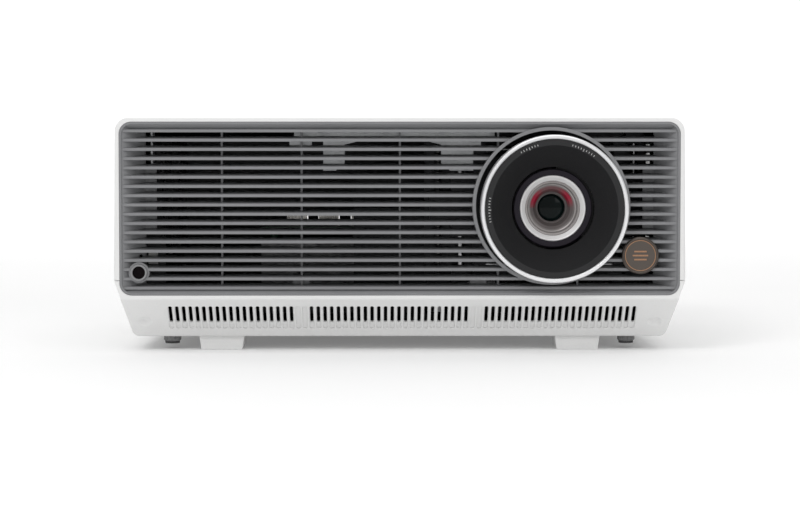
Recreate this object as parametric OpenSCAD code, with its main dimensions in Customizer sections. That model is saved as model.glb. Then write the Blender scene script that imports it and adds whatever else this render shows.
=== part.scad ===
// Home projector: a white case with a dark louvred front, an offset lens on a two-axis shift
// stage, screw feet, fans and a laser light engine.
// Millimetres, +Z up. The front faces -Y and +X is to the right of someone who looks at the front.
// The origin is at table level, in the middle of the overall footprint.

/* [Case] */
// Width of the case at its parting line
case_w = 370; // [308:1:444]
// Depth of the case from the front rim to the rear wall
case_d = 280; // [233:1:336]
// Height of the top face above the table
case_h = 152.6; // [150:0.1:170]
// Height of the underside of the tray above the table
tray_z = 9; // [8:0.5:11]
// Height of the seam between the top cover and the tray
seam_z = 47.3; // [45:0.1:50]
// Wall thickness of the top cover and the tray
wall = 2.5; // [2:0.1:3]
// Radius of the long top edges
top_edge_r = 9; // [6:0.5:12]
// Radius of the two rear corners in plan
rear_corner_r = 14; // [10:0.5:20]
// Gap between two moulded case pieces
case_gap = 0.3; // [0.2:0.05:0.4]

/* [Chin] */
// Height at which the front face turns back into the chin
chin_z = 35.2; // [34:0.1:36]
// How far the chin runs back to the underside
chin_d = 28; // [26:1:32]
// Spacing of the chin's air slots
slot_pitch = 4.38; // [4.2:0.02:5]
// Width of one air slot
slot_w = 2.2; // [1.8:0.1:2.4]
// Slots in the left group
slots_left = 19; // [15:1:20]
// Slots in the right group
slots_right = 23; // [15:1:24]

/* [Front grille] */
// Rim of the case that shows around the grille
rim_w = 3.2; // [2.8:0.1:4]
// Rim of the case above the grille
rim_top = 2.8; // [2.5:0.1:3.5]
// Radius of the grille's outer corners
grille_r = 8; // [6:0.5:9]
// Depth of the grille
grille_d = 14; // [12:0.5:16]
// Spacing of the louvres
louvre_pitch = 5.98; // [5.6:0.02:6.6]
// Height of a louvre's front edge
louvre_t = 1.8; // [1.4:0.1:2]
// How far the louvres stand back from the front of the frame
louvre_recess = 1.2; // [0.8:0.1:2]
// Width of the slanted wall at each end of the louvres
end_wall_w = 13.6; // [11:0.1:16]

/* [Lens] */
// Distance from the lens axis to the right-hand side of the case
lens_side = 85.8; // [84:0.1:90]
// Height of the lens axis
lens_z = 94; // [90:0.5:96]
// Outer radius of the bright ring around the lens
ring_r = 47.7; // [46:0.1:50]
// How far the bright ring stands in front of the case
ring_out = 14; // [13:0.5:16]
// Inner radius of the collar in the grille
collar_r = 48.8; // [48:0.1:52]
// How far left of the collar's centre the lens rests (negative: to the right)
home_x = -1.35; // [-1.5:0.05:1.5]
// How far below the collar's centre the lens rests
home_z = 1.6; // [0:0.1:2]
// Radius of the lens barrel where the focus and zoom rings turn
barrel_r = 22.5; // [20:0.5:23]
// Radius of the hole at the bottom of the funnel
funnel_r = 26.8; // [26:0.1:28]
// Radius of the guide rods of the shift stage
rod_r = 2.5; // [2:0.1:3]
// Radius of the two lead screws
screw_r = 2; // [1.6:0.1:2.5]
// Radial clearance of shafts and rods in their bores
running = 0.06; // [0.02:0.01:0.1]

/* [Feet and mounting] */
// Distance between the left and right mounting blocks
block_span_x = 235; // [200:1:240]
// Distance between the front and rear mounting blocks
block_span_y = 180; // [150:1:200]
// Radius of the bore of each mounting insert
insert_r = 2.1; // [1.6:0.1:2.6]
// Distance between the two screw feet
foot_span = 303; // [290:1:306]
// Radius of a foot's knob
foot_r = 5.8; // [5:0.1:7]
// Height of the foot's lower face above the table when it is screwed in
foot_z = 3; // [2.5:0.5:5]

/* [Cooling] */
// Width and height of a fan's frame
fan_size = 80; // [70:1:80]
// Thickness of a fan
fan_t = 20; // [15:1:25]
// Blades on a fan
fan_blades = 9; // [7:1:11]

/* [Hidden] */

$fn = 72;
eps = 0.01;
arc_steps = 8;

// Overall layout
front_y = -(case_d - ring_out) / 2;
rear_y = front_y + case_d;
half_w = case_w / 2;
cover_taper = 1.1;
tray_taper = 10.1;
knee_inset = 3.6;
knee_z = 38;

// Gap between a piece and what it stands on, and the height of the tray's inner floor with it
seat = 0.1;
floor_top = tray_z + wall + seat;

// Grille
grille_w = case_w - 2 * rim_w - cover_taper;
grille_top = case_h - rim_top;
grille_bottom = chin_z + 2.6;
grille_h = grille_top - grille_bottom;
grille_mid = (grille_top + grille_bottom) / 2;
frame_lip = 1.4;
ledge_h = 3.4;
ledge_recess = 0.9;
ledge_back = 4.2;
louvre_x = grille_w / 2 - 2.4;
louvre_count = floor((grille_h - 2 * 4.2) / louvre_pitch) + 1;
louvre_rise = 1.8;
louvre_back_t = 1.4;
louvre_d = grille_d - louvre_recess - 1.2;
louvre_start = grille_mid - 0.6 - (louvre_count - 1) * louvre_pitch / 2;
rib_w = 1.3;
rib_inner_x = 63.8;
rib_outer_x = 115.5;
flange_w = 7;
flange_low = louvre_start + 6 * louvre_pitch;
flange_high = louvre_start + 13 * louvre_pitch;
collar_wall = 2.2;
collar_out = 1;

// Chin: the slots are counted from its two ends, so the groups keep their sizes
chin_angle = atan2(chin_z - tray_z, chin_d);
slot_end_gap = 35.4;
slot_shift = 1.6;
slot_places = floor((case_w - 2 * slot_end_gap + 2 * slot_shift) / slot_pitch) + 1;
slot_x0 = -(slot_places - 1) * slot_pitch / 2 + slot_shift;
slot_top = 8;
slot_l = 16.2;
groove_l = 23;
groove_depth = 0.7;
groove_margin = 0.9;
dimple_x = half_w - 18.2;
dimple_r = 9;
dimple_depth = 1.4;
dimple_down = 23;

// Receiver tube, badge and clip tabs on the grille
ir_x = -(half_w - 16.1);
ir_z = 52.5;
ir_r = 5.3;
ir_wall = 1.15;
ir_out = 2;
ir_window_back = 2.2;
ir_window_t = 3;
ir_boss = 1.4;
pin_hole = 1.8;
pin_hole_up = 10.4;
badge_x = half_w - 29.4;
badge_z = 63.5;
badge_r = 12;
badge_t = 2.2;
badge_sink = 0.4;
inlay_t = 0.2;
inlay_bar_step = 2.6;
clip_x = [-64.3, 51];
clip_w = 10.6;

// Upper bracket behind the grille
bracket_t = 1.2;
bracket_back = 5;
bracket_d = 16;
bracket_x = [-69, 62];
bracket_drop = 12.6;
bracket_tab = 19;
bracket_foot = 6;
bracket_side = 22.5;
bracket_fan_gap = 3;

// Lens axis and the centre of the collar, which the lens stands off at rest
lens_x = half_w - lens_side;
collar_x = lens_x + home_x;
collar_z = lens_z + home_z;
ring_front = front_y - ring_out;
ring_depth = 12;
ring_wall = 2.8;
funnel_front = ring_front + 1.2;
funnel_wall = 1.4;
funnel_band = 4;
funnel_depth = 17;
shroud_r = 41;
shroud_wall = 2;
barrel_front = ring_front + 19.5;
barrel_lip_r = barrel_r + 3;
barrel_lip = 2.5;
barrel_tail_r = barrel_r - 2.5;
barrel_flange_r = barrel_r + 4.8;
mouth_r = barrel_r - 1.2;
// Inner radii of the throat's steps, each taken inwards from the mouth
throat_r = mouth_r - 1.5;
throat_step_r = throat_r - 2.4;
throat_slope_r = throat_r - 3.4;
throat_ledge_r = throat_r - 5.3;
glass_r = throat_r - 11;
glass_y = ring_front + 35;

// Geared rings and pinions
tooth_module = 0.8;
ring_teeth = 70;
sector_teeth = 25;
pinion_teeth = 12;
gear_gap = 0.12;
gear_distance = tooth_module * (ring_teeth + pinion_teeth) / 2 + gear_gap;
gear_t = 7;
focus_y = barrel_front + 4;
zoom_y = focus_y + gear_t + 3;
focus_angle = 20;
zoom_angle = 200;
motor_r = 5;
motor_shaft_r = 0.8;

// Shift stage, from the front: lens carriage, cross carriage, base
plate_t = 4;
carriage_y = ring_front + 50;
cross_y = carriage_y + 16;
base_y = cross_y + 15;
h_rod_y = carriage_y + 6;
v_rod_y = cross_y + 6;
bearing_t = 12;
h_rod_z = 38;
v_rod_x = 58;
h_rod_half = 50;
v_rod_half = 52;
cross_half_x = 50;
v_screw_x = 73;
h_screw_z = 51;
stage_hole_r = 30;
carriage_w = 82;
carriage_h = 66;
bearing_half = 6;
lug_half = 5;

// Light engine
engine_y = base_y + plate_t + 1;
engine_room = 208;
engine_d = case_d - engine_room;
engine_left = lens_x - 58;
engine_right = lens_x + 50;
engine_bottom = tray_z + wall + 22;
engine_top = case_h - wall - 12;
engine_wall = 3;
engine_foot_w = 12;
engine_rib_pitch = 16;
laser_w = 66;
laser_d = 40;
laser_top = case_h - 60;
laser_right = engine_left - 6;
sink_d = 30;
sink_base_t = 5;
fin_t = 1.4;

// Mounting blocks and feet
block_y = front_y + 0.48 * (case_d - block_span_y);
block_top_w = 30;
block_bottom_w = 27;
block_l = 34;
insert_l = 12;
insert_wall = 2;
foot_y = block_y;
knob_h = 5;
sole_t = 1.5;
stud_r = 3;
stud_l = 22;
foot_post_r = 7;

// Places of the case screws, from the front, the rear and the sides
screw_front = 32;
screw_rear = 24;
screw_side = 26;

// Rear panel and side grilles
panel_side = 17;
panel_bottom = 24;
panel_top = case_h - 14;
panel_r = 5;
panel_flange = 3;
panel_y = rear_y - 0.8;
vent_side = 36;
vent_pitch = 26;
vent_row = 6.5;
vent_l = 21;
vent_h = 2.8;
lock_x = 58;
side_grille_margin = 8;
side_slot_row = 6;
side_slot_h = 3;
side_slot_land = 4;
side_grille_h = fan_size + 4;
side_grille_z = 98;
// The room left by two fans between the grille and the rear corner, shared out before, between and after
fan_front = grille_d + side_grille_margin + 4;
fan_rear = rear_corner_r + side_grille_margin;
fan_room = case_d - fan_front - fan_rear - 2 * fan_size;
front_fan_y = front_y + fan_front + fan_room / 6 + fan_size / 2;
rear_fan_y = rear_y - fan_rear - fan_room * 2 / 9 - fan_size / 2;
right_fan_y = rear_fan_y;
left_fans = [front_fan_y, rear_fan_y];
right_fans = [right_fan_y];
fan_x = half_w - cover_taper - wall - 4 - fan_t / 2;
fan_hole_out = fan_size / 2 - 4.5;
fan_hole_r = 2.1;

// Rear electronics
board_w = 200;
board_d = 74;
board_z = 74;
board_t = 1.6;
board_gap = 4.5;
standoff_h = 8;
cage_t = 1.2;
cage_slots = 15;
cage_slot_pitch = 11;
socket_z = board_z + board_t;
video_x = [-76, -52, -28, -8];
video_w = [15.2, 15.2, 13.4, 13.4];
video_h = [6.2, 6.2, 7, 7];
network_x = 20;
inlet_x = half_w - 55;
inlet_z = 44;
inlet_w = 27.5;
inlet_h = 20;

// Buttons on the top cover
button_x = half_w - 60;
button_y = rear_y - 45;
power_x = button_x + 26;
power_r = 6;
key_r = 12;
button_gap = 0.3;
button_proud = 0.8;
button_flange = 1.2;
button_travel = 1;
light_x = button_x - 26;
light_pitch = 6;
light_r = 1.1;

white = [0.93, 0.93, 0.92];
dark_grey = [0.27, 0.27, 0.28];
mid_grey = [0.5, 0.5, 0.51];
black = [0.06, 0.06, 0.065];
silver = [0.8, 0.8, 0.81];
light_metal = [0.68, 0.69, 0.7];
copper = [0.72, 0.47, 0.3];
brass = [0.78, 0.62, 0.33];
board_green = [0.05, 0.22, 0.13];

// ---- Shared shapes -------------------------------------------------------------------------

function unit(v) = v / norm(v);

function turned(v, angle) = [
    v.x * cos(angle) - v.y * sin(angle),
    v.x * sin(angle) + v.y * cos(angle)
];

// Points that round the corner at p, between its neighbours a and b, to radius r
function corner(p, a, b, r) =
    let (
        to_a = unit(a - p),
        to_b = unit(b - p),
        half = acos(to_a * to_b) / 2,
        centre = p + unit(to_a + to_b) * r / sin(half),
        start = p + to_a * r / tan(half) - centre,
        end = p + to_b * r / tan(half) - centre,
        sweep = atan2(start.x * end.y - start.y * end.x, start * end)
    )
    [for (k = [0:arc_steps]) centre + turned(start, sweep * k / arc_steps)];

// Outline with rounded corners, from a list of [x, y, corner radius]
function rounded(points) =
    let (n = len(points))
    [for (i = [0:n - 1])
        let (
            p = points[i],
            a = points[(i + n - 1) % n],
            b = points[(i + 1) % n]
        )
        each (p[2] == 0 ? [[p.x, p.y]] : corner([p.x, p.y], [a.x, a.y], [b.x, b.y], p[2]))];

module rounded_rect(w, h, r) {
    square([w - 2 * r, h], center = true);
    square([w, h - 2 * r], center = true);
    for (sx = [-1, 1], sy = [-1, 1])
        translate([sx * (w / 2 - r), sy * (h / 2 - r)]) circle(r);
}

// A slot w long over its round ends and h wide
module slot_2d(w, h) {
    square([w - h, h], center = true);
    for (sx = [-1, 1]) translate([sx * (w - h) / 2, 0]) circle(h / 2, $fn = 24);
}

// Extrudes a shape drawn in X and Z along +Y, from y to y + depth
module along_y(y, depth) {
    translate([0, y + depth, 0]) rotate([90, 0, 0]) linear_extrude(depth) children();
}

// Extrudes a shape drawn in Y and Z along +X, from x to x + width
module along_x(x, width) {
    translate([x, 0, 0]) rotate([90, 0, 90]) linear_extrude(width) children();
}

module box(low, high) {
    translate(low) cube(high - low);
}

// A cylinder that runs along +Y from y to y + length, centred on x and z
module rod_y(x, y, z, r, length) {
    translate([x, y + length, z]) rotate([90, 0, 0]) cylinder(r = r, h = length);
}

module rod_x(x, y, z, r, length) {
    translate([x, y, z]) rotate([0, 90, 0]) cylinder(r = r, h = length);
}

module rod_z(x, y, z, r, length) {
    translate([x, y, z]) cylinder(r = r, h = length);
}

// Turns an outline of [radius, y] points about the lens axis
module lens_turned(points) {
    translate([lens_x, 0, lens_z]) rotate([-90, 0, 0]) rotate_extrude($fn = 120) polygon(points);
}

// A screw's outline: a plain core with evenly spaced ring grooves, as [radius, length] points
function grooved_outline(r, length, pitch, depth) =
    let (n = floor(length / pitch) - 1)
    concat(
        [[0, 0], [r, 0]],
        [for (i = [1:n], side = [-1, 0, 1]) [r - (side == 0 ? depth : 0), i * pitch + side * pitch * 0.3]],
        [[r, length], [0, length]]
    );

// ---- Case ----------------------------------------------------------------------------------

// The case seen from the front, drawn in by inset
function front_outline(inset) = rounded([
    [-(half_w - tray_taper) + inset, tray_z + inset, max(5 - inset, 1)],
    [half_w - tray_taper - inset, tray_z + inset, max(5 - inset, 1)],
    [half_w - knee_inset - inset, knee_z, 12],
    [half_w - inset, seam_z, 3],
    [half_w - cover_taper - inset, case_h - inset, top_edge_r - inset],
    [-(half_w - cover_taper) + inset, case_h - inset, top_edge_r - inset],
    [-half_w + inset, seam_z, 3],
    [-(half_w - knee_inset) + inset, knee_z, 12]
]);

// The case seen from the side, drawn in by inset; the chin keeps the same wall thickness
function side_outline(inset) =
    let (
        rise = tray_z - chin_z,
        slope = norm([chin_d, rise]),
        front_shift = inset * (slope + rise) / chin_d,
        floor_shift = inset * (slope - chin_d) / -rise
    )
    rounded([
        [front_y + inset, chin_z + front_shift, max(2 - inset, 0.5)],
        [front_y + chin_d + floor_shift, tray_z + inset, 4],
        [rear_y - 8 - inset, tray_z + inset, 4],
        [rear_y - inset, panel_bottom - 5, 4],
        [rear_y - inset, case_h - inset, top_edge_r - inset],
        [front_y + inset, case_h - inset, max(1.2 - inset, 0)]
    ]);

function plan_outline(inset) = rounded([
    [-half_w + inset, front_y + inset, max(2 - inset, 0.5)],
    [half_w - inset, front_y + inset, max(2 - inset, 0.5)],
    [half_w - inset, rear_y - inset, rear_corner_r - inset],
    [-half_w + inset, rear_y - inset, rear_corner_r - inset]
]);

module case_solid(inset) {
    intersection() {
        along_y(front_y - 1, case_d + 2) polygon(front_outline(inset));
        along_x(-half_w - 1, case_w + 2) polygon(side_outline(inset));
        linear_extrude(case_h + 1) polygon(plan_outline(inset));
    }
}

module case_shell() {
    difference() {
        case_solid(0);
        case_solid(wall);
    }
}

module case_openings() {
    along_y(front_y - 1, grille_d + 4)
        translate([0, grille_mid]) rounded_rect(grille_w + case_gap, grille_h + case_gap, grille_r);
    along_y(rear_y - wall - 3, wall + 4) panel_outline(case_gap / 2);
    for (side = [-1, 1])
        let (fans = side < 0 ? left_fans : right_fans)
        along_x(side * half_w - 8, 16)
            translate([(fans[0] + fans[len(fans) - 1]) / 2, side_grille_z])
                rounded_rect(side_grille_length(fans) + case_gap, side_grille_h + case_gap, 4);
}

function side_grille_length(fans) = fans[len(fans) - 1] - fans[0] + fan_size + 2 * side_grille_margin;

module panel_outline(grow) {
    translate([0, (panel_bottom + panel_top) / 2])
        rounded_rect(case_w - 2 * panel_side + 2 * grow, panel_top - panel_bottom + 2 * grow, panel_r);
}

module top_cover() {
    color(white)
    difference() {
        case_shell();
        case_openings();
        box([-case_w, front_y - 2, 0], [case_w, rear_y + 2, seam_z + case_gap / 2]);
        rod_z(power_x, button_y, case_h - 10, power_r + button_gap, 12);
        rod_z(button_x, button_y, case_h - 10, key_r + button_gap, 12);
        for (k = [-1:1])
            rod_z(light_x, button_y + k * light_pitch, case_h - 10, light_r + 0.1, 12);
    }
}

function is_blank(i) =
    i == slots_left || i == slots_left + 1
    || i == slot_places - slots_right - 2 || i == slot_places - slots_right - 1;

// Puts its children on the chin: X across, Y down the slope and Z into the case
module on_chin(x, down) {
    translate([x, front_y, chin_z])
        rotate([-chin_angle, 0, 0])
            translate([0, down, 0]) children();
}

module slot_shape(w, l, depth) {
    translate([0, 0, -depth]) linear_extrude(2 * depth) {
        translate([-w / 2, w / 2]) square([w, l - w]);
        translate([0, w / 2]) circle(w / 2, $fn = 16);
        translate([0, l - w / 2]) circle(w / 2, $fn = 16);
    }
}

module mounting_block(x, y) {
    along_y(y - block_l / 2, block_l)
        polygon([
            [x - block_bottom_w / 2, 0],
            [x + block_bottom_w / 2, 0],
            [x + block_top_w / 2, tray_z + wall / 2],
            [x - block_top_w / 2, tray_z + wall / 2]
        ]);
    rod_z(x, y, tray_z, insert_r + insert_wall + 3, insert_l - tray_z + 3);
}

function block_places() = [
    for (sx = [-1, 1], y = [block_y, block_y + block_span_y])
        [sx * block_span_x / 2, y]
];

// Screws that join the tray to the top cover
function screw_places() = [
    for (sx = [-1, 1], y = [front_y + screw_front, rear_y - screw_rear])
        [sx * (half_w - screw_side), y]
];

module bottom_tray() {
    color(white)
    difference() {
        union() {
            difference() {
                case_shell();
                case_openings();
                box([-case_w, front_y - 2, seam_z - case_gap / 2], [case_w, rear_y + 2, case_h + 1]);
            }
            // lip that stands inside the cover and closes the seam
            difference() {
                intersection() {
                    case_solid(wall + 0.2);
                    box([-case_w, front_y + grille_d + 6, seam_z - 6], [case_w, rear_y - 12, seam_z + 4]);
                }
                case_solid(wall + 1.6);
            }
            lip_joint();
            for (p = block_places()) mounting_block(p.x, p.y);
            for (sx = [-1, 1]) rod_z(sx * foot_span / 2, foot_y, tray_z + 1, foot_post_r, stud_l - 3);
            for (p = screw_places()) rod_z(p.x, p.y, tray_z + 1, 4.5, seam_z - tray_z - 2);
        }
        for (i = [0:slot_places - 1]) {
            on_chin(slot_x0 + i * slot_pitch, slot_top - 0.8)
                slot_shape(slot_w + groove_margin, groove_l, groove_depth);
            if (!is_blank(i))
                on_chin(slot_x0 + i * slot_pitch, slot_top) slot_shape(slot_w, slot_l, 6);
        }
        for (sx = [-1, 1])
            on_chin(sx * dimple_x, dimple_down) translate([0, 0, dimple_depth - dimple_r]) sphere(dimple_r);
        for (p = block_places()) rod_z(p.x, p.y, -1, insert_r + insert_wall, insert_l + 1);
        for (sx = [-1, 1]) {
            rod_z(sx * foot_span / 2, foot_y, -1, stud_r + running, tray_z + stud_l);
            rod_z(sx * foot_span / 2, foot_y, -1, foot_r + 0.5, foot_z + sole_t + knob_h + 1.5);
        }
        for (p = screw_places()) {
            rod_z(p.x, p.y, -1, 1.6, seam_z);
            rod_z(p.x, p.y, -1, 3.5, tray_z + 4);
        }
    }
}

// Joins the lip to the tray's wall below the seam
module lip_joint() {
    difference() {
        intersection() {
            case_solid(wall - 0.1);
            box([-case_w, front_y + grille_d + 6, seam_z - 6], [case_w, rear_y - 12, seam_z - 2]);
        }
        case_solid(wall + 1.6);
    }
}

// ---- Front grille and what it carries -------------------------------------------------------

module louvre(z) {
    along_x(-louvre_x - 1, 2 * louvre_x + 2)
        translate([front_y + louvre_recess, z])
            polygon([
                [0, -louvre_t / 2],
                [louvre_d, louvre_rise + louvre_t / 2 - louvre_back_t],
                [louvre_d, louvre_rise + louvre_t / 2],
                [0, louvre_t / 2]
            ]);
}

// Slanted wall that closes the louvres at one end, with a flat flange behind part of its height
module end_wall(side) {
    back = front_y + grille_d;
    inner_x = louvre_x - end_wall_w;
    linear_extrude(case_h)
        polygon([
            for (p = [
                [grille_w / 2 - 0.5, front_y + louvre_recess],
                [louvre_x, front_y + louvre_recess],
                [inner_x, back - 2],
                [inner_x, back],
                [inner_x + 1, back],
                [louvre_x + 0.8, front_y + louvre_recess + 2.4],
                [grille_w / 2 - 0.5, front_y + louvre_recess + 2.4]
            ]) [side * p.x, p.y]
        ]);
    box([side * (inner_x - flange_w / 2 + 0.5) - flange_w / 2 - 0.5, back - 2, flange_low],
        [side * (inner_x - flange_w / 2 + 0.5) + flange_w / 2 + 0.5, back, flange_high]);
}

// Slanted ledge between the frame's lip and the first or last louvre; side is 1 at the top
module ledge(side) {
    edge = grille_mid + side * (grille_h / 2 - 0.5);
    inner = grille_mid + side * (grille_h / 2 - frame_lip - ledge_h);
    back = front_y + grille_d;
    along_x(-half_w, case_w)
        polygon([
            [front_y + ledge_recess, edge], [back, edge], [back, inner],
            [front_y + ledge_back, inner], [front_y + ledge_recess, edge - side * (frame_lip - 0.3)]
        ]);
}

module front_grille() {
    color(dark_grey)
    difference() {
        union() {
            along_y(front_y, grille_d)
                difference() {
                    translate([0, grille_mid]) rounded_rect(grille_w, grille_h, grille_r);
                    translate([0, grille_mid])
                        rounded_rect(grille_w - 2 * frame_lip, grille_h - 2 * frame_lip, grille_r - frame_lip);
                }
            intersection() {
                along_y(front_y + eps, grille_d - eps)
                    translate([0, grille_mid]) rounded_rect(grille_w - 1, grille_h - 1, grille_r - 0.5);
                union() {
                    for (side = [-1, 1]) {
                        end_wall(side);
                        ledge(side);
                    }
                    for (i = [0:louvre_count - 1]) louvre(louvre_start + i * louvre_pitch);
                    for (x = [-rib_outer_x, -rib_inner_x, 0, rib_inner_x, rib_outer_x])
                        box([x - rib_w / 2, front_y + grille_d - 6, 0],
                            [x + rib_w / 2, front_y + grille_d - 0.5, case_h]);
                    for (x = clip_x)
                        box([x - clip_w / 2, front_y + grille_d - 3, grille_bottom],
                            [x + clip_w / 2, front_y + grille_d - 1, louvre_start + louvre_pitch + 1]);
                }
            }
            rod_y(collar_x, front_y - collar_out, collar_z, collar_r + collar_wall, grille_d + collar_out);
            rod_y(ir_x, front_y + louvre_recess, ir_z, ir_r + ir_boss, grille_d - louvre_recess);
        }
        rod_y(collar_x, front_y - 5, collar_z, collar_r, grille_d + 10);
        rod_y(ir_x, front_y - 5, ir_z, ir_r + 0.15, grille_d + 10);
        // small square hole turned on its corner
        translate([ir_x + 0.5, front_y, ir_z + pin_hole_up])
            rotate([0, 45, 0]) cube([pin_hole, 3 * grille_d, pin_hole], center = true);
    }
}

module ir_tube() {
    color(mid_grey)
    difference() {
        rod_y(ir_x, front_y + louvre_recess - ir_out, ir_z, ir_r, grille_d + 2);
        rod_y(ir_x, front_y - 6, ir_z, ir_r - ir_wall, grille_d + 20);
    }
}

module ir_window() {
    color(black)
    rod_y(ir_x, front_y + louvre_recess - ir_out + ir_window_back, ir_z, ir_r - ir_wall - 0.05, ir_window_t);
}

// Receiver board behind the tube, with a pale plug-in connector on it
module ir_board() {
    color(board_green)
    difference() {
        union() {
            back = front_y + grille_d + 2.6;
            box([ir_x - 7, back, ir_z - 10], [ir_x + 16, back + 1.2, ir_z + 18]);
            box([ir_x + 5, back - 2.2, ir_z + 5], [ir_x + 11, back, ir_z + 13]);
        }
        rod_y(ir_x, front_y, ir_z, 1.6, 60);
    }
}

module badge_plate() {
    color([0.36, 0.34, 0.32])
    translate([badge_x, front_y + louvre_recess, badge_z]) rotate([90, 0, 0])
        rotate_extrude()
            polygon([
                [0, 0], [badge_r, 0], [badge_r, badge_t - 0.9], [badge_r - 0.9, badge_t],
                [badge_r - 1.4, badge_t], [badge_r - 1.8, badge_t - badge_sink], [0, badge_t - badge_sink]
            ]);
}

// A thin ring with three plain bars inside it, laid on the badge's face
module badge_inlay() {
    face = front_y + louvre_recess - badge_t + badge_sink;
    color(copper) {
        difference() {
            rod_y(badge_x, face - inlay_t, badge_z, badge_r - 2, inlay_t);
            rod_y(badge_x, face - 2 * inlay_t, badge_z, badge_r - 2.5, 3 * inlay_t);
        }
        for (k = [-1:1])
            box([badge_x - 5 + abs(k), face - inlay_t, badge_z + k * inlay_bar_step - 0.5],
                [badge_x + 5 - abs(k), face, badge_z + k * inlay_bar_step + 0.5]);
    }
}

// Pressed plate behind the top of the grille, with two hanging tabs
module upper_bracket() {
    y = front_y + grille_d + bracket_back;
    top = case_h - wall - 1;
    bar = grille_top - bracket_drop;
    foot = bar - bracket_foot;
    tip = bar - bracket_tab;
    side_x = bracket_side - half_w;
    side_back = front_fan_y - fan_size / 2 - bracket_fan_gap;
    color(light_metal) {
        along_y(y, bracket_t) {
            translate([bracket_x[0], bar]) square([bracket_x[1] - bracket_x[0], top - bar]);
            polygon([[-72, bar + 1], [-72, foot], [-57.5, foot], [-57.5, bar + 1]]);
            polygon([[-50, bar + 1], [-50, tip], [-42, tip], [-36, tip + 5], [-36, bar - 2], [-24, bar + 1]]);
            polygon([[15, bar + 1], [27, bar - 2], [27, tip + 5], [33, tip], [48, tip], [48, foot],
                     [53, foot], [53, bar + 1]]);
        }
        box([bracket_x[0], y, top - bracket_t], [bracket_x[1], y + bracket_d, top]);
        box([side_x, y, tip + 1], [side_x + bracket_t, side_back, top]);
        box([side_x, side_back - 6, top - bracket_t], [bracket_x[0] + 1, side_back, top]);
    }
}

// ---- Mounting and feet ----------------------------------------------------------------------

module mounting_inserts() {
    color(brass)
    for (p = block_places())
        difference() {
            rod_z(p.x, p.y, 0.4, insert_r + insert_wall - 0.03, insert_l - 0.4);
            rod_z(p.x, p.y, -1, insert_r, insert_l + 2);
        }
}

module foot_knob(side) {
    top = foot_z + sole_t + knob_h;
    color(dark_grey)
    translate([side * foot_span / 2, foot_y, 0])
        difference() {
            union() {
                translate([0, 0, foot_z + sole_t]) rotate_extrude()
                    polygon([[0, 0], [foot_r - 0.8, 0], [foot_r, 0.9], [foot_r, knob_h], [0, knob_h]]);
                translate([0, 0, top]) rotate_extrude()
                    polygon(grooved_outline(stud_r, stud_l, 1.5, 0.5));
            }
            for (k = [0:11])
                rotate([0, 0, k * 30])
                    translate([foot_r + 0.5, 0, foot_z]) cylinder(r = 0.9, h = knob_h + 1, $fn = 16);
            rod_z(0, 0, foot_z, 1.8, sole_t + 2.5);
        }
}

// Soft sole that does not turn with the knob; its peg stands in the knob
module foot_sole(side) {
    color(black)
    translate([side * foot_span / 2, foot_y, foot_z]) {
        rotate_extrude()
            polygon([[0, 0], [foot_r - 1.2, 0], [foot_r - 0.9, 0.4], [foot_r - 0.9, sole_t - 0.05],
                     [0, sole_t - 0.05]]);
        cylinder(r = 1.8 - running, h = sole_t + 2);
    }
}

// ---- Lens -----------------------------------------------------------------------------------

module lens_trim_ring() {
    inner = ring_r - ring_wall;
    back = ring_front + ring_depth;
    color(silver)
    lens_turned([
        [inner, ring_front + 0.5], [inner + 0.5, ring_front], [ring_r - 1, ring_front],
        [ring_r - 0.3, ring_front + 0.7], [ring_r, ring_front + 3], [ring_r, ring_front + 6],
        [ring_r - 0.35, ring_front + 6.2], [ring_r - 0.35, ring_front + 6.8],
        [ring_r, ring_front + 7], [ring_r, back], [shroud_r + 0.15, back],
        [shroud_r + 0.15, back - 1.5], [inner, back - 1.5]
    ]);
}

module lens_funnel() {
    outer = ring_r - ring_wall - 0.15;
    back = ring_front + funnel_depth;
    color(black)
    lens_turned([
        [outer, funnel_front], [outer, ring_front + ring_depth - 3.3],
        [outer - 1.2, ring_front + ring_depth - 3.3], [outer - 1.2, funnel_front + 1.4],
        [outer - funnel_band, funnel_front + 1.6], [funnel_r + funnel_wall, back],
        [funnel_r, back], [outer - funnel_band, funnel_front]
    ]);
}

// Tube that carries the ring and the funnel from the lens carriage
module lens_shroud() {
    front = ring_front + ring_depth - 3.2;
    color(black)
    difference() {
        lens_turned([
            [shroud_r - shroud_wall, front], [ring_r - ring_wall - 0.1, front],
            [ring_r - ring_wall - 0.1, front + 1.6], [shroud_r, front + 1.6],
            [shroud_r, carriage_y], [shroud_r - shroud_wall, carriage_y]
        ]);
        // windows for the motor leads
        for (side = [-1, 1])
            translate([lens_x, carriage_y - 5, lens_z]) rotate([0, side * 90, 0])
                translate([0, 0, shroud_r - 4]) cube([12, 6, 12], center = true);
    }
}

module lens_barrel() {
    tail_back = base_y + 12;
    color(black)
    lens_turned([
        [mouth_r + 0.1, barrel_front], [barrel_lip_r - 0.6, barrel_front], [barrel_lip_r, barrel_front + 0.6],
        [barrel_lip_r, barrel_front + barrel_lip], [barrel_r, barrel_front + barrel_lip],
        [barrel_r, carriage_y - 3], [barrel_flange_r, carriage_y - 3], [barrel_flange_r, carriage_y - 0.05],
        [barrel_tail_r, carriage_y - 0.05], [barrel_tail_r, tail_back], [barrel_tail_r - 2, tail_back],
        [barrel_tail_r - 2, glass_y + 14], [mouth_r - 1.4, glass_y + 14], [mouth_r - 1.4, barrel_front + 3],
        [mouth_r + 0.1, barrel_front + 3]
    ]);
}

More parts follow.
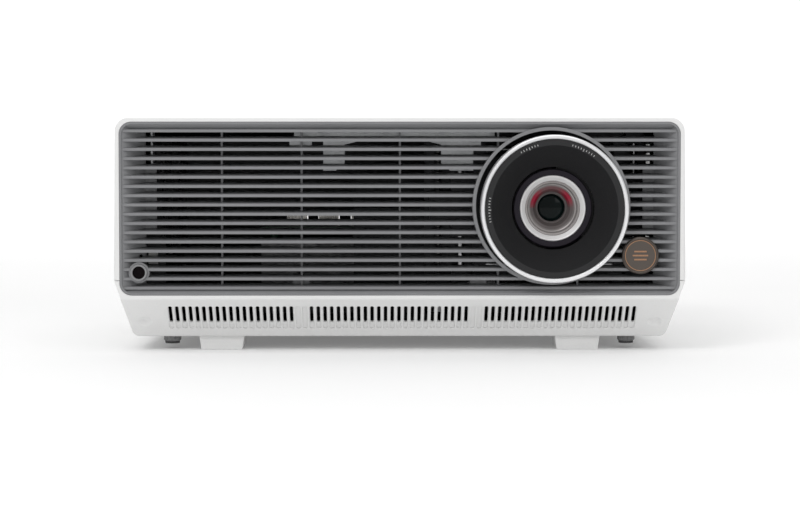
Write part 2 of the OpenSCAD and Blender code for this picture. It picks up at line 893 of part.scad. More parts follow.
// Bright ring at the mouth of the barrel, with a satin inner slope
module barrel_front_ring() {
    color(silver)
    lens_turned([
        [mouth_r - 0.5, barrel_front - 0.6], [mouth_r, barrel_front - 0.2], [mouth_r, barrel_front + 2.9],
        [mouth_r - 3.4, barrel_front + 2.9], [mouth_r - 3.4, barrel_front + 1.6],
        [mouth_r - 1, barrel_front - 0.4]
    ]);
}

// Stepped throat that narrows from the mouth to the front glass
module lens_baffle() {
    y0 = barrel_front + 3;
    color(mid_grey)
    lens_turned([
        [throat_r, y0], [throat_r, glass_y + 7], [glass_r + 0.1, glass_y + 7], [glass_r + 0.1, glass_y],
        [glass_r + 0.4, glass_y - 0.8], [glass_r + 1.5, glass_y - 0.8], [glass_r + 1.5, glass_y - 2.2],
        [glass_r + 3.4, glass_y - 4.4], [throat_ledge_r, glass_y - 5], [throat_ledge_r, glass_y - 8],
        [throat_ledge_r + 1.1, glass_y - 8.6], [throat_slope_r, y0 + 1.2], [throat_step_r, y0 + 1],
        [throat_step_r, y0]
    ]);
}

// A disc of glass with two domed faces, radius r, rim thickness t and bulge b on each side
module glass_disc(r, y, t, b) {
    steps = 10;
    sphere_r = (r * r + b * b) / (2 * b);
    color([0.12, 0.2, 0.2])
    lens_turned(concat(
        [for (k = [0:steps])
            let (x = r * k / steps)
            [x, y - (sqrt(sphere_r * sphere_r - x * x) - (sphere_r - b))]],
        [for (k = [steps:-1:0])
            let (x = r * k / steps)
            [x, y + t + (sqrt(sphere_r * sphere_r - x * x) - (sphere_r - b))]]
    ));
}

module front_lens() {
    glass_disc(glass_r, glass_y + 2.4, 2, 1.6);
}

module rear_lens() {
    glass_disc(barrel_tail_r - 2.1, base_y, 3, 3);
}

// Outline of a gear sector: teeth side by side from the X axis, each with straight tapered flanks
function sector_outline(teeth, count, inner_r) =
    let (
        pitch_r = teeth * tooth_module / 2,
        root = pitch_r - 1.15 * tooth_module,
        tip = pitch_r + 0.9 * tooth_module,
        step = 360 / teeth,
        first = -(count - 1) * step / 2
    )
    concat(
        [for (k = [0:count - 1], q = [[root, -0.33], [tip, -0.13], [tip, 0.13], [root, 0.33]])
            let (angle = first + (k + q[1]) * step)
            q[0] * [cos(angle), sin(angle)]],
        inner_r == 0 ? [] : [
            for (k = [count:-1:0])
                let (angle = first + (k - 0.5) * step)
                inner_r * [cos(angle), sin(angle)]]
    );

// Ring that turns on the barrel, with a toothed sector that meets its pinion
module geared_ring(y, angle, colour) {
    inner = barrel_r + running;
    outer = barrel_r + 3.2;
    color(colour)
    difference() {
        union() {
            rod_y(lens_x, y, lens_z, outer, gear_t);
            translate([lens_x, y + gear_t, lens_z]) rotate([90, 0, 0]) rotate([0, 0, angle])
                linear_extrude(gear_t - 2) polygon(sector_outline(ring_teeth, sector_teeth, inner + 1));
        }
        rod_y(lens_x, y - 1, lens_z, inner, gear_t + 2);
    }
}

function around_lens(angle) = [lens_x + gear_distance * cos(angle), lens_z + gear_distance * sin(angle)];

// The pinion's even tooth count leaves a gap facing the ring's middle tooth
module pinion(y, angle) {
    p = around_lens(angle);
    shaft_back = gear_t + 1.5;
    color(brass)
    translate([p[0], y + gear_t, p[1]]) rotate([90, 0, 0])
        rotate([0, 0, angle + 180]) {
            linear_extrude(gear_t - 2) polygon(sector_outline(pinion_teeth, pinion_teeth, 0));
            translate([0, 0, -shaft_back + 3]) cylinder(r = motor_shaft_r, h = shaft_back - 3);
        }
}

module ring_motor(y, angle) {
    p = around_lens(angle);
    front = y + gear_t + 0.8;
    color(light_metal)
    difference() {
        union() {
            rod_y(p[0], front, p[1], motor_r, carriage_y - front);
            rod_y(p[0], front - 0.3, p[1], 2.2, 1);
        }
        rod_y(p[0], front - 1, p[1], motor_shaft_r + running, 8);
    }
}

// ---- Shift stage ----------------------------------------------------------------------------

module lens_carriage() {
    bearing_l = 36;
    color(light_metal)
    difference() {
        union() {
            along_y(carriage_y, plate_t)
                translate([lens_x, lens_z]) rounded_rect(carriage_w, carriage_h, 6);
            for (side = [-1, 1])
                box([lens_x - bearing_l / 2, carriage_y, lens_z + side * h_rod_z - bearing_half],
                    [lens_x + bearing_l / 2, carriage_y + bearing_t, lens_z + side * h_rod_z + bearing_half]);
            box([lens_x - 8, carriage_y, lens_z - h_screw_z - 5],
                [lens_x + 8, carriage_y + bearing_t, lens_z - h_rod_z - 5]);
        }
        rod_y(lens_x, carriage_y - 1, lens_z, barrel_tail_r + running, plate_t + 2);
        for (side = [-1, 1])
            rod_x(lens_x - 30, h_rod_y, lens_z + side * h_rod_z, rod_r + running, 60);
        rod_x(lens_x - 30, h_rod_y, lens_z - h_screw_z, screw_r + running, 60);
    }
}

module cross_carriage() {
    lug_w = 8;
    color([0.55, 0.56, 0.58])
    difference() {
        union() {
            box([lens_x - cross_half_x, cross_y, lens_z - h_screw_z - 6],
                [lens_x + cross_half_x, cross_y + plate_t, lens_z + h_rod_z + 5]);
            for (side = [-1, 1]) {
                box([lens_x + side * (v_rod_x - 1) - 7.5, cross_y, lens_z - 20],
                    [lens_x + side * (v_rod_x - 1) + 7.5, cross_y + bearing_t, lens_z + 20]);
                for (up = [-1, 1])
                    translate([lens_x + side * (cross_half_x - lug_w / 2), 0, lens_z + up * h_rod_z])
                        box([-lug_w / 2, carriage_y, -lug_half], [lug_w / 2, cross_y + 1, lug_half]);
            }
            // nut of the vertical screw
            box([lens_x - v_screw_x - 6, cross_y, lens_z - 10],
                [lens_x - v_rod_x, cross_y + bearing_t, lens_z + 10]);
            // lugs that carry the horizontal screw
            box([lens_x + cross_half_x - lug_w, carriage_y, lens_z - h_screw_z - 6],
                [lens_x + cross_half_x, cross_y + 1, lens_z - h_screw_z + 5]);
            box([lens_x - cross_half_x + 14, carriage_y, lens_z - h_screw_z - 6],
                [lens_x - cross_half_x + 17, cross_y + 1, lens_z - h_screw_z + 6]);
        }
        translate([home_x, 0, home_z]) rod_y(lens_x, cross_y - 1, lens_z, stage_hole_r, plate_t + 2);
        for (side = [-1, 1]) {
            rod_z(lens_x + side * v_rod_x, v_rod_y, lens_z - 60, rod_r + running, 120);
            rod_x(lens_x - 60, h_rod_y, lens_z + side * h_rod_z, rod_r + running, 120);
        }
        rod_z(lens_x - v_screw_x, v_rod_y, lens_z - 60, screw_r + running, 120);
        rod_x(lens_x - 60, h_rod_y, lens_z - h_screw_z, screw_r + running, 120);
    }
}

module stage_base() {
    color([0.42, 0.43, 0.45])
    difference() {
        union() {
            box([lens_x - v_screw_x - 9, base_y, lens_z - v_rod_half],
                [lens_x + v_rod_x + 8, base_y + plate_t, lens_z + v_rod_half]);
            for (side = [-1, 1], up = [-1, 1])
                translate([lens_x + side * v_rod_x, 0, lens_z + up * (v_rod_half - lug_half)])
                    box([-bearing_half, cross_y - 1, -lug_half], [bearing_half, base_y + 1, lug_half]);
            for (up = [-1, 1])
                box([lens_x - v_screw_x - 7, cross_y - 1, lens_z + up * (v_rod_half - 2.5) - 2.5],
                    [lens_x - v_screw_x + 7, base_y + 1, lens_z + up * (v_rod_half - 2.5) + 2.5]);
            // feet down to the tray
            for (x = [lens_x - 60, lens_x + 50])
                box([x, base_y, floor_top], [x + 14, base_y + plate_t, lens_z - v_rod_half + 1]);
        }
        translate([home_x, 0, home_z]) rod_y(lens_x, base_y - 1, lens_z, stage_hole_r, plate_t + 2);
        for (side = [-1, 1])
            rod_z(lens_x + side * v_rod_x, v_rod_y, lens_z - 60, rod_r + running, 120);
        rod_z(lens_x - v_screw_x, v_rod_y, lens_z - 60, screw_r + running, 120);
    }
}

module vertical_rods() {
    color(silver)
    for (side = [-1, 1])
        rod_z(lens_x + side * v_rod_x, v_rod_y, lens_z - v_rod_half, rod_r, 2 * v_rod_half);
}

module horizontal_rods() {
    color(silver)
    for (side = [-1, 1])
        rod_x(lens_x - h_rod_half, h_rod_y, lens_z + side * h_rod_z, rod_r, 2 * h_rod_half);
}

module vertical_lead_screw() {
    color(brass)
    translate([lens_x - v_screw_x, v_rod_y, lens_z - v_rod_half - 0.5]) rotate_extrude()
        polygon(grooved_outline(screw_r, 2 * v_rod_half, 2, 0.4));
}

module vertical_shift_motor() {
    top = lens_z - v_rod_half - 0.6;
    color(light_metal) {
        rod_z(lens_x - v_screw_x, v_rod_y, top - 18, 7.5, 18);
        box([lens_x - v_screw_x - 5, v_rod_y + 7, top - 16],
            [lens_x - v_screw_x + 5, base_y + plate_t, top - 6]);
    }
}

module horizontal_lead_screw() {
    start = lens_x - cross_half_x + 13.9;
    color(brass)
    translate([start, h_rod_y, lens_z - h_screw_z]) rotate([0, 90, 0]) rotate_extrude()
        polygon(grooved_outline(screw_r, 2 * cross_half_x - 15, 2, 0.4));
}

module horizontal_shift_motor() {
    color(light_metal)
    rod_x(lens_x - cross_half_x - 4.2, h_rod_y, lens_z - h_screw_z, 5.8, 18);
}

// ---- Light engine ---------------------------------------------------------------------------

module optical_engine() {
    color([0.5, 0.5, 0.52])
    difference() {
        union() {
            box([engine_left, engine_y, engine_bottom], [engine_right, engine_y + engine_d, engine_top]);
            for (x = [engine_left + 6, engine_right - 6 - engine_foot_w])
                box([x, engine_y + 8, floor_top],
                    [x + engine_foot_w, engine_y + engine_d - 8, engine_bottom + 1]);
            for (x = [engine_left + 8:engine_rib_pitch:engine_right - 8])
                box([x, engine_y + 4, engine_top - 1],
                    [x + engine_wall, engine_y + engine_d - 4, engine_top + 4]);
        }
        box([engine_left, engine_y, engine_bottom] + engine_wall * [1, 1, 1],
            [engine_right, engine_y + engine_d, engine_top] - engine_wall * [1, 1, 1]);
        translate([home_x, 0, home_z]) rod_y(lens_x, engine_y - 1, lens_z, stage_hole_r, 5);
    }
}

// A base plate with upright fins; size is [x, y, z] and the fins stand across Y
module finned_block(low, size, fin_pitch) {
    translate(low) {
        cube([size.x, sink_base_t, size.z]);
        count = floor((size.x - fin_t) / fin_pitch) + 1;
        for (k = [0:count - 1])
            translate([k * fin_pitch, sink_base_t - 0.5, 0]) cube([fin_t, size.y - sink_base_t + 0.5, size.z]);
    }
}

module imager_heat_sink() {
    color(light_metal)
    finned_block([lens_x - 40, engine_y + engine_d + seat, lens_z - 36], [72, sink_d, 70], 5.04);
}

module laser_module() {
    color([0.35, 0.36, 0.38])
    difference() {
        union() {
            box([laser_right - laser_w, engine_y, floor_top], [laser_right, engine_y + laser_d, laser_top]);
            // duct that passes the light to the engine
            box([laser_right - 10, engine_y + 10, lens_z - 26],
                [engine_left - seat, engine_y + laser_d - 10, lens_z - 6]);
        }
        box([laser_right - laser_w, engine_y, tray_z + wall] + engine_wall * [1, 1, 1],
            [laser_right, engine_y + laser_d, laser_top] - engine_wall * [1, 1, 1]);
    }
}

module laser_heat_sink() {
    color(light_metal)
    finned_block([laser_right - laser_w, engine_y + laser_d + seat, floor_top],
                 [laser_w, sink_d, case_h - 40 - tray_z], 5.38);
}

// ---- Fans, set in X, with the frame's bore and hub about a line along X ----------------------

module fan_frame(x, y) {
    stator_r = 12;
    color(black)
    difference() {
        union() {
            difference() {
                along_x(x - fan_t / 2, fan_t)
                    translate([y, side_grille_z]) rounded_rect(fan_size, fan_size, 4);
                rod_x(x - fan_t / 2 - 1, y, side_grille_z, fan_size / 2 - 2, fan_t + 2);
            }
            for (k = [0:3])
                translate([x, y, side_grille_z]) rotate([45 + k * 90, 0, 0])
                    translate([0.4 - fan_t / 2, -1.5, stator_r - 2])
                        cube([2.2, 3, fan_size / 2 - stator_r + 1]);
            rod_x(x - fan_t / 2, y, side_grille_z, stator_r, 3);
        }
        for (sy = [-1, 1], sz = [-1, 1])
            rod_x(x - fan_t, y + sy * fan_hole_out, side_grille_z + sz * fan_hole_out, fan_hole_r, 2 * fan_t);
        rod_x(x - fan_t, y, side_grille_z, 1.5 + running, 2 * fan_t);
    }
}

module fan_rotor(x, y) {
    hub_r = 14;
    blade_r = fan_size / 2 - 3.2;
    color(dark_grey)
    translate([x - fan_t / 2 + 3.6, y, side_grille_z]) rotate([0, 90, 0]) {
        cylinder(r = hub_r, h = fan_t - 5);
        translate([0, 0, -2.6]) cylinder(r = 1.5, h = 4);
        for (k = [0:fan_blades - 1])
            rotate([0, 0, k * 360 / fan_blades])
                intersection() {
                    translate([0, 0, 0.5]) cylinder(r = blade_r, h = fan_t - 6);
                    translate([hub_r - 1, 0, (fan_t - 5) / 2]) rotate([42, 0, 0])
                        translate([0, -fan_t, -0.6]) cube([fan_size, 2 * fan_t, 1.2]);
                    translate([hub_r - 1, -10, 0]) cube([fan_size, 20, fan_t]);
                }
    }
}

// ---- Electronics ----------------------------------------------------------------------------

module power_supply() {
    low = [-board_w / 2, rear_y - 76, floor_top];
    high = [board_w / 2 - 10, rear_y - 12, board_z - standoff_h];
    sheet = [cage_t, cage_t, cage_t];
    color(silver)
    difference() {
        box(low, high);
        box(low + sheet + [0, 0, 6.7], high - sheet);
        for (k = [0:cage_slots - 1])
            box([low.x + 14 + k * cage_slot_pitch, high.y - 4, tray_z + 16],
                [low.x + 19 + k * cage_slot_pitch, high.y + 2, board_z - 18]);
    }
}

module main_board() {
    board_front = rear_y - board_gap - board_d;
    // each chip's left side, front side, width and height
    chips = [[-70, 20, 22, 3], [-20, 24, 30, 4], [40, 18, 16, 2.5], [66, 40, 14, 8]];
    color(board_green)
    difference() {
        union() {
            box([-board_w / 2, board_front, board_z], [board_w / 2, board_front + board_d, board_z + board_t]);
            for (c = chips)
                box([c[0], board_front + c[1], board_z + board_t - eps],
                    [c[0] + c[2], board_front + c[1] + c[2], board_z + board_t + c[3]]);
            for (sx = [-1, 1], y = [rear_y - 70, rear_y - 20])
                rod_z(sx * (board_w / 2 - 14) - 5, y, board_z - standoff_h + seat, 3, standoff_h);
        }
        for (sx = [-1, 1], y = [rear_y - 70, rear_y - 20])
            rod_z(sx * (board_w / 2 - 14) - 5, y, board_z - 20, 1.5, 40);
    }
}

// Row of flat sockets, each a thin shell with a tongue
module video_sockets() {
    depth = 12;
    shell = 0.6;
    color(silver)
    for (i = [0:len(video_x) - 1])
        translate([video_x[i], rear_y - 1 - depth, socket_z + 0.05]) {
            difference() {
                translate([-video_w[i] / 2, 0, 0]) cube([video_w[i], depth, video_h[i]]);
                translate([-video_w[i] / 2 + shell, shell, shell])
                    cube([video_w[i] - 2 * shell, depth, video_h[i] - 2 * shell]);
            }
            translate([-video_w[i] / 2 + 2.5, shell - eps, video_h[i] / 2 - 0.6])
                cube([video_w[i] - 5, depth - 2, 1.2]);
        }
}

module network_socket() {
    w = 16;
    h = 13.5;
    depth = 16;
    color(silver)
    translate([network_x, rear_y - 1 - depth, socket_z + 0.05])
        difference() {
            translate([-w / 2, 0, 0]) cube([w, depth, h]);
            translate([-5.9, 2, 2.4]) cube([11.8, depth, 8]);
            translate([-2.5, 4, 1]) cube([5, depth, 3]);
        }
}

module mains_inlet() {
    depth = 18;
    color(black)
    translate([inlet_x, rear_y - 1.5, inlet_z]) {
        difference() {
            union() {
                translate([-inlet_w / 2, -depth, -inlet_h / 2]) cube([inlet_w, depth, inlet_h]);
                translate([-inlet_w / 2 - 2, -4.6, -inlet_h / 2 - 2]) cube([inlet_w + 4, 1.5, inlet_h + 4]);
            }
            translate([0, 1, 0]) rotate([90, 0, 0]) linear_extrude(depth - 1)
                polygon([[-12, -8.2], [12, -8.2], [12, 4], [8, 8.2], [-8, 8.2], [-12, 4]]);
        }
        for (p = [[-7, -2], [0, 2], [7, -2]])
            translate([p[0] - 1, -depth + 1, p[1] - 2]) cube([2, depth - 3, 4]);
    }
}

module rear_panel() {
    flange_y = rear_y - wall - 0.1;
    color(dark_grey)
    difference() {
        union() {
            along_y(flange_y - 1.5, panel_y - flange_y + 1.5) panel_outline(-case_gap / 2);
            along_y(flange_y - 1.5, 1.5) panel_outline(panel_flange);
        }
        for (i = [0:len(video_x) - 1])
            box([video_x[i] - video_w[i] / 2 - 0.5, rear_y - 20, socket_z - 0.5],
                [video_x[i] + video_w[i] / 2 + 0.5, rear_y + 1, socket_z + video_h[i] + 0.6]);
        box([network_x - 8.4, rear_y - 20, socket_z - 0.5], [network_x + 8.4, rear_y + 1, socket_z + 14]);
        box([inlet_x - inlet_w / 2 - 0.4, rear_y - 20, inlet_z - inlet_h / 2 - 0.4],
            [inlet_x + inlet_w / 2 + 0.4, rear_y + 1, inlet_z + inlet_h / 2 + 0.4]);
        // air slots behind the light engine and behind the power supply
        for (row = [0:5], k = [0:4])
            along_y(rear_y - 10, 20)
                translate([half_w - vent_side - k * vent_pitch, panel_top - 10 - row * vent_row])
                    slot_2d(vent_l, vent_h);
        for (row = [0:4], k = [0:5])
            along_y(rear_y - 10, 20)
                translate([k * vent_pitch - board_w / 2 + 12, panel_bottom + 9 + row * vent_row])
                    slot_2d(vent_l, vent_h);
        // lock slot
        along_y(rear_y - 10, 20) translate([lock_x, socket_z + 8]) slot_2d(7, 3);
    }
}

// Slotted panel in a side wall; side is -1 on the left, and fans lists the fans behind it
module side_grille(side, fans) {
    face = half_w - cover_taper - 0.5;
    back = half_w - cover_taper - wall - 0.2;
    l = side_grille_length(fans);
    mid = (fans[0] + fans[len(fans) - 1]) / 2;
    slot_step = (fan_size + 10) / 3;
    slot_rows = floor((fan_size - 2) / 2 / side_slot_row);
    color(white)
    difference() {
        union() {
            along_x(side > 0 ? back - 1.5 : -face, face - back + 1.5)
                translate([mid, side_grille_z]) rounded_rect(l - case_gap, side_grille_h - case_gap, 3.8);
            along_x(side > 0 ? back - 1.5 : -back, 1.5)
                translate([mid, side_grille_z]) rounded_rect(l + 6, side_grille_h + 4, 5);
        }
        for (y = fans, row = [-slot_rows:slot_rows], k = [-1:1])
            along_x(side * half_w - 10, 20)
                translate([y + k * slot_step, side_grille_z + row * side_slot_row])
                    slot_2d(slot_step - side_slot_land, side_slot_h);
    }
}

// ---- Controls -------------------------------------------------------------------------------

// A round key with a dished top, a flange under the cover and a stem to the switch
module key(x, r) {
    under = case_h - wall;
    top = case_h + button_proud;
    dish = 0.6;
    dish_steps = 8;
    color(mid_grey)
    translate([x, button_y, 0]) {
        rotate_extrude()
            polygon(concat(
                [
                    [0, under - button_flange - 0.1], [r + 1.2, under - button_flange - 0.1],
                    [r + 1.2, under - 0.1], [r, under - 0.1], [r, top - 0.5], [r - 0.5, top]
                ],
                [for (k = [dish_steps:-1:0])
                    [(r - 1) * k / dish_steps, top - dish * (1 - pow(k / dish_steps, 2))]]
            ));
        translate([0, 0, under - 4]) cylinder(r = 1.5, h = 4 - button_flange);
    }
}

module button_board() {
    top = case_h - wall - 4 - button_travel - 0.4;
    color(board_green) {
        box([light_x - 10, button_y - 16, top - 1.6], [power_x + 12, button_y + 16, top]);
        for (x = [power_x, button_x]) rod_z(x, button_y, top - eps, 2.2, 0.3);
    }
}

module status_lights() {
    base = case_h - wall - 5.3;
    color([0.75, 0.85, 0.8])
    for (k = [-1:1])
        rod_z(light_x, button_y + k * light_pitch, base, light_r, case_h - base - 0.1);
}

module case_screws() {
    color(silver)
    for (p = screw_places()) {
        rod_z(p.x, p.y, tray_z + 0.9, 3, 2);
        rod_z(p.x, p.y, tray_z + 2.9, 1.5, seam_z - tray_z - 6);
    }
}

// ---- Assembly -------------------------------------------------------------------------------

top_cover();
bottom_tray();
front_grille();
rear_panel();
side_grille(-1, left_fans);  // left_side_grille
side_grille(1, right_fans);  // right_side_grille
upper_bracket();
ir_tube();
ir_window();
ir_board();
badge_plate();
badge_inlay();
mounting_inserts();
foot_knob(-1);  // foot_knob_left
foot_knob(1);  // foot_knob_right
foot_sole(-1);  // foot_sole_left
foot_sole(1);  // foot_sole_right
lens_trim_ring();
lens_funnel();
lens_shroud();
lens_barrel();
barrel_front_ring();
lens_baffle();
front_lens();
rear_lens();
geared_ring(focus_y, focus_angle, dark_grey);  // focus_ring
geared_ring(zoom_y, zoom_angle, mid_grey);  // zoom_ring
pinion(focus_y, focus_angle);  // focus_pinion
pinion(zoom_y, zoom_angle);  // zoom_pinion
ring_motor(focus_y, focus_angle);  // focus_motor
ring_motor(zoom_y, zoom_angle);  // zoom_motor
lens_carriage();
cross_carriage();
stage_base();
vertical_rods();
horizontal_rods();
vertical_lead_screw();
horizontal_lead_screw();
vertical_shift_motor();
horizontal_shift_motor();
optical_engine();
imager_heat_sink();
laser_module();
laser_heat_sink();
fan_frame(-fan_x, front_fan_y);  // fan_frame_front
fan_frame(-fan_x, rear_fan_y);  // fan_frame_rear
fan_frame(fan_x, right_fan_y);  // fan_frame_right
fan_rotor(-fan_x, front_fan_y);  // fan_rotor_front
fan_rotor(-fan_x, rear_fan_y);  // fan_rotor_rear
fan_rotor(fan_x, right_fan_y);  // fan_rotor_right
power_supply();
main_board();
video_sockets();
network_socket();
mains_inlet();
key(power_x, power_r);  // power_button
key(button_x, key_r);  // navigation_key
button_board();
status_lights();
case_screws();
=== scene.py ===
"""Looks of the home projector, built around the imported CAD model."""
import math

import bmesh
import bpy
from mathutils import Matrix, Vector


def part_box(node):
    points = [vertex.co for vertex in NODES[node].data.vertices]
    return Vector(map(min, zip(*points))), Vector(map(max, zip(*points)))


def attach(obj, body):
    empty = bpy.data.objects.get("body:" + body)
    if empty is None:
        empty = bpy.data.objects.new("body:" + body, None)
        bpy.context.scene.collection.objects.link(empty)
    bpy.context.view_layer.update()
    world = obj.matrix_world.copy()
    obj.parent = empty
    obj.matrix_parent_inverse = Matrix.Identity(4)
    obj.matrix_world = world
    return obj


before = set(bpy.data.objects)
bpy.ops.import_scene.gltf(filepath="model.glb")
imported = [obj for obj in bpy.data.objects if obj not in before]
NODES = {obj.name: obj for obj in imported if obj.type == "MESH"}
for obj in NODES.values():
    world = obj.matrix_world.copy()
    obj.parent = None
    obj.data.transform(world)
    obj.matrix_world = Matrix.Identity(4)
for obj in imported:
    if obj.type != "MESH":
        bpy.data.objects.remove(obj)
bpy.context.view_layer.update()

MM = 0.001


def centre_of(node):
    low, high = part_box(node)
    return (low + high) / 2


LENS = centre_of("lens_trim_ring")
CASE_LOW, CASE_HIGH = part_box("top_cover")
TRAY_LOW, TRAY_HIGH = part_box("bottom_tray")


# ---- Node helpers ----------------------------------------------------------------------------

# Most values of a noise texture lie between these two.
NOISE_LOW = 0.3
NOISE_HIGH = 0.7
# How much a turned surface's rings change with each radian.
TURN_DRIFT = 0.25


class Look:
    """A node material, with short calls that add nodes and join them."""

    def __init__(self, name):
        self.material = bpy.data.materials.new(name)
        self.material.use_nodes = True
        self.tree = self.material.node_tree
        self.tree.nodes.clear()
        self.output = self.tree.nodes.new("ShaderNodeOutputMaterial")
        self.place = self.add("ShaderNodeTexCoord").outputs["Object"]

    def put(self, socket, value):
        """Link another node's output to a socket, or set the socket to a constant."""
        if isinstance(value, bpy.types.NodeSocket):
            self.tree.links.new(value, socket)
        elif socket.type == "RGBA":
            socket.default_value = (*value, 1.0)
        else:
            socket.default_value = value

    def add(self, kind, settings=None, **inputs):
        """Add a node. An input's name has _ where the socket's name has a space."""
        node = self.tree.nodes.new(kind)
        for key, value in (settings or {}).items():
            setattr(node, key, value)
        for key, value in inputs.items():
            self.put(node.inputs[key.replace("_", " ")], value)
        return node

    def shader(self, **inputs):
        """Finish the material with a Principled shader, and return the material."""
        node = self.add("ShaderNodeBsdfPrincipled", **inputs)
        self.tree.links.new(node.outputs[0], self.output.inputs["Surface"])
        return self.material

    # Arithmetic

    def math(self, operation, first, second=0.0):
        node = self.add("ShaderNodeMath", {"operation": operation})
        self.put(node.inputs[0], first)
        self.put(node.inputs[1], second)
        return node.outputs[0]

    def total(self, first, *others):
        for value in others:
            first = self.math("ADD", first, value)
        return first

    def product(self, first, *others):
        for value in others:
            first = self.math("MULTIPLY", first, value)
        return first

    def minus(self, first, second):
        return self.math("SUBTRACT", first, second)

    def distance(self, across, along):
        return self.math("SQRT", self.total(self.product(across, across), self.product(along, along)))

    def span(self, value, low, high, from_low=0.0, from_high=1.0):
        """Map from_low..from_high to low..high, and stop at both ends."""
        node = self.add("ShaderNodeMapRange")
        for socket, number in zip(node.inputs, (value, from_low, from_high, low, high)):
            self.put(socket, number)
        return node.outputs[0]

    def spread(self, noise, low, high):
        """Map a noise value's usual range to low..high."""
        return self.span(noise, low, high, NOISE_LOW, NOISE_HIGH)

    def mix(self, share, first, second):
        """Mix two colours: all first at share 0, all second at share 1."""
        node = self.add("ShaderNodeMix", {"data_type": "RGBA"}, Factor=share)
        for key, value in (("A", first), ("B", second)):
            socket = next(each for each in node.inputs if each.name == key and each.type == "RGBA")
            self.put(socket, value)
        return next(each for each in node.outputs if each.type == "RGBA")

    # Coordinates, in the shared frame

    def axes(self):
        return self.add("ShaderNodeSeparateXYZ", Vector=self.place).outputs

    def around(self, centre):
        """Radius and angle about the line along Y through centre."""
        x, _, z = self.axes()
        across = self.minus(x, centre.x)
        along = self.minus(z, centre.z)
        return self.distance(across, along), self.math("ARCTAN2", along, across)

    def stretched(self, scale):
        """Coordinates with each axis scaled, for a grain that runs one way."""
        return self.add("ShaderNodeMapping", Vector=self.place, Scale=scale).outputs["Vector"]

    # Textures

    def noise(self, scale, detail=3.0, rough=0.5, at=None):
        where = at or self.place
        node = self.add("ShaderNodeTexNoise", Vector=where, Scale=scale, Detail=detail, Roughness=rough)
        return node.outputs["Fac"]

    def cells(self, scale):
        return self.add("ShaderNodeTexVoronoi", Vector=self.place, Scale=scale).outputs["Distance"]

    def turned_grain(self, centre, pitch):
        """Fine rings about the line along Y through centre, as a lathe leaves them."""
        radius, angle = self.around(centre)
        _, y, _ = self.axes()
        at = self.add(
            "ShaderNodeCombineXYZ",
            X=self.product(radius, 1 / pitch),
            Y=self.product(angle, TURN_DRIFT),
            Z=self.product(y, 1 / pitch),
        )
        return self.noise(1.0, detail=2.0, rough=0.6, at=at.outputs[0])

    # Relief and edges

    def rounded_edges(self, radius):
        return self.add("ShaderNodeBevel", {"samples": 4}, Radius=radius).outputs["Normal"]

    def bump(self, height, depth, strength, normal=None):
        node = self.add("ShaderNodeBump", Height=height, Distance=depth, Strength=strength)
        if normal is not None:
            self.put(node.inputs["Normal"], normal)
        return node.outputs["Normal"]

    def edge_mask(self, radius):
        """1 on edges, where the rounded normal differs from the face's own."""
        node = self.add("ShaderNodeVectorMath", {"operation": "DOT_PRODUCT"})
        self.put(node.inputs[0], self.rounded_edges(radius))
        self.put(node.inputs[1], self.add("ShaderNodeNewGeometry").outputs["Normal"])
        return self.span(node.outputs["Value"], 1.0, 0.0, 0.75, 0.98)


def shade(colour, factor):
    return tuple(min(1.0, part * factor) for part in colour)


# ---- Kinds of surface ------------------------------------------------------------------------

# Black painted on the case's inner faces as shade.
PAINTED_SHADE_BLACK = (0.008, 0.008, 0.009)
MATT = 0.4  # how much rougher the black painted as shade is than the plastic


def plastic(name, colour, rough=0.45, grain=0.35, depth=0.02, variation=0.05, wear=0.0, edge=0.25,
            gloss=0.4, painted_shade_inside=None):
    """Moulded plastic: fine spark-eroded grain, faint flow marks, slightly polished edges.

    The grain's size and depth and the edge's radius are in millimetres. The last argument is a mask
    of the faces that are painted black, as shade inside the case.
    """
    look = Look(name)
    flow = look.noise(14.0, detail=4.0, rough=0.6)
    speck = look.noise(900.0, detail=2.0, rough=0.7)
    pits_in_metre = 1 / (grain * MM)

    tint = look.mix(look.spread(flow, 0.0, 1.0), shade(colour, 1 - variation), shade(colour, 1 + variation))
    tint = look.mix(look.span(speck, 0.0, 0.35, 0.55, 0.8), tint, shade(colour, 0.86))
    if wear > 0:
        rubbed = look.span(look.noise(160.0, detail=3.0, rough=0.6), 0.0, wear, 0.4, 0.7)
        tint = look.mix(look.product(look.edge_mask(0.5 * MM), rubbed), tint, shade(colour, 1.35))

    patches = look.noise(45.0, detail=3.0, rough=0.6)
    rough_map = look.total(look.spread(patches, rough - 0.06, rough + 0.06), look.spread(speck, -0.03, 0.05))
    # Painted shade: the case's inner faces are painted black.
    if painted_shade_inside:
        inside = painted_shade_inside(look)
        tint = look.mix(inside, tint, PAINTED_SHADE_BLACK)
        rough_map = look.total(rough_map, look.product(inside, MATT))

    dents = look.product(look.noise(pits_in_metre * 0.45), 0.6)
    pits = look.total(look.cells(pits_in_metre), dents)
    normal = look.bump(pits, depth * MM, 0.6, look.rounded_edges(edge * MM))
    return look.shader(Base_Color=tint, Roughness=rough_map, Specular_IOR_Level=gloss, Normal=normal)


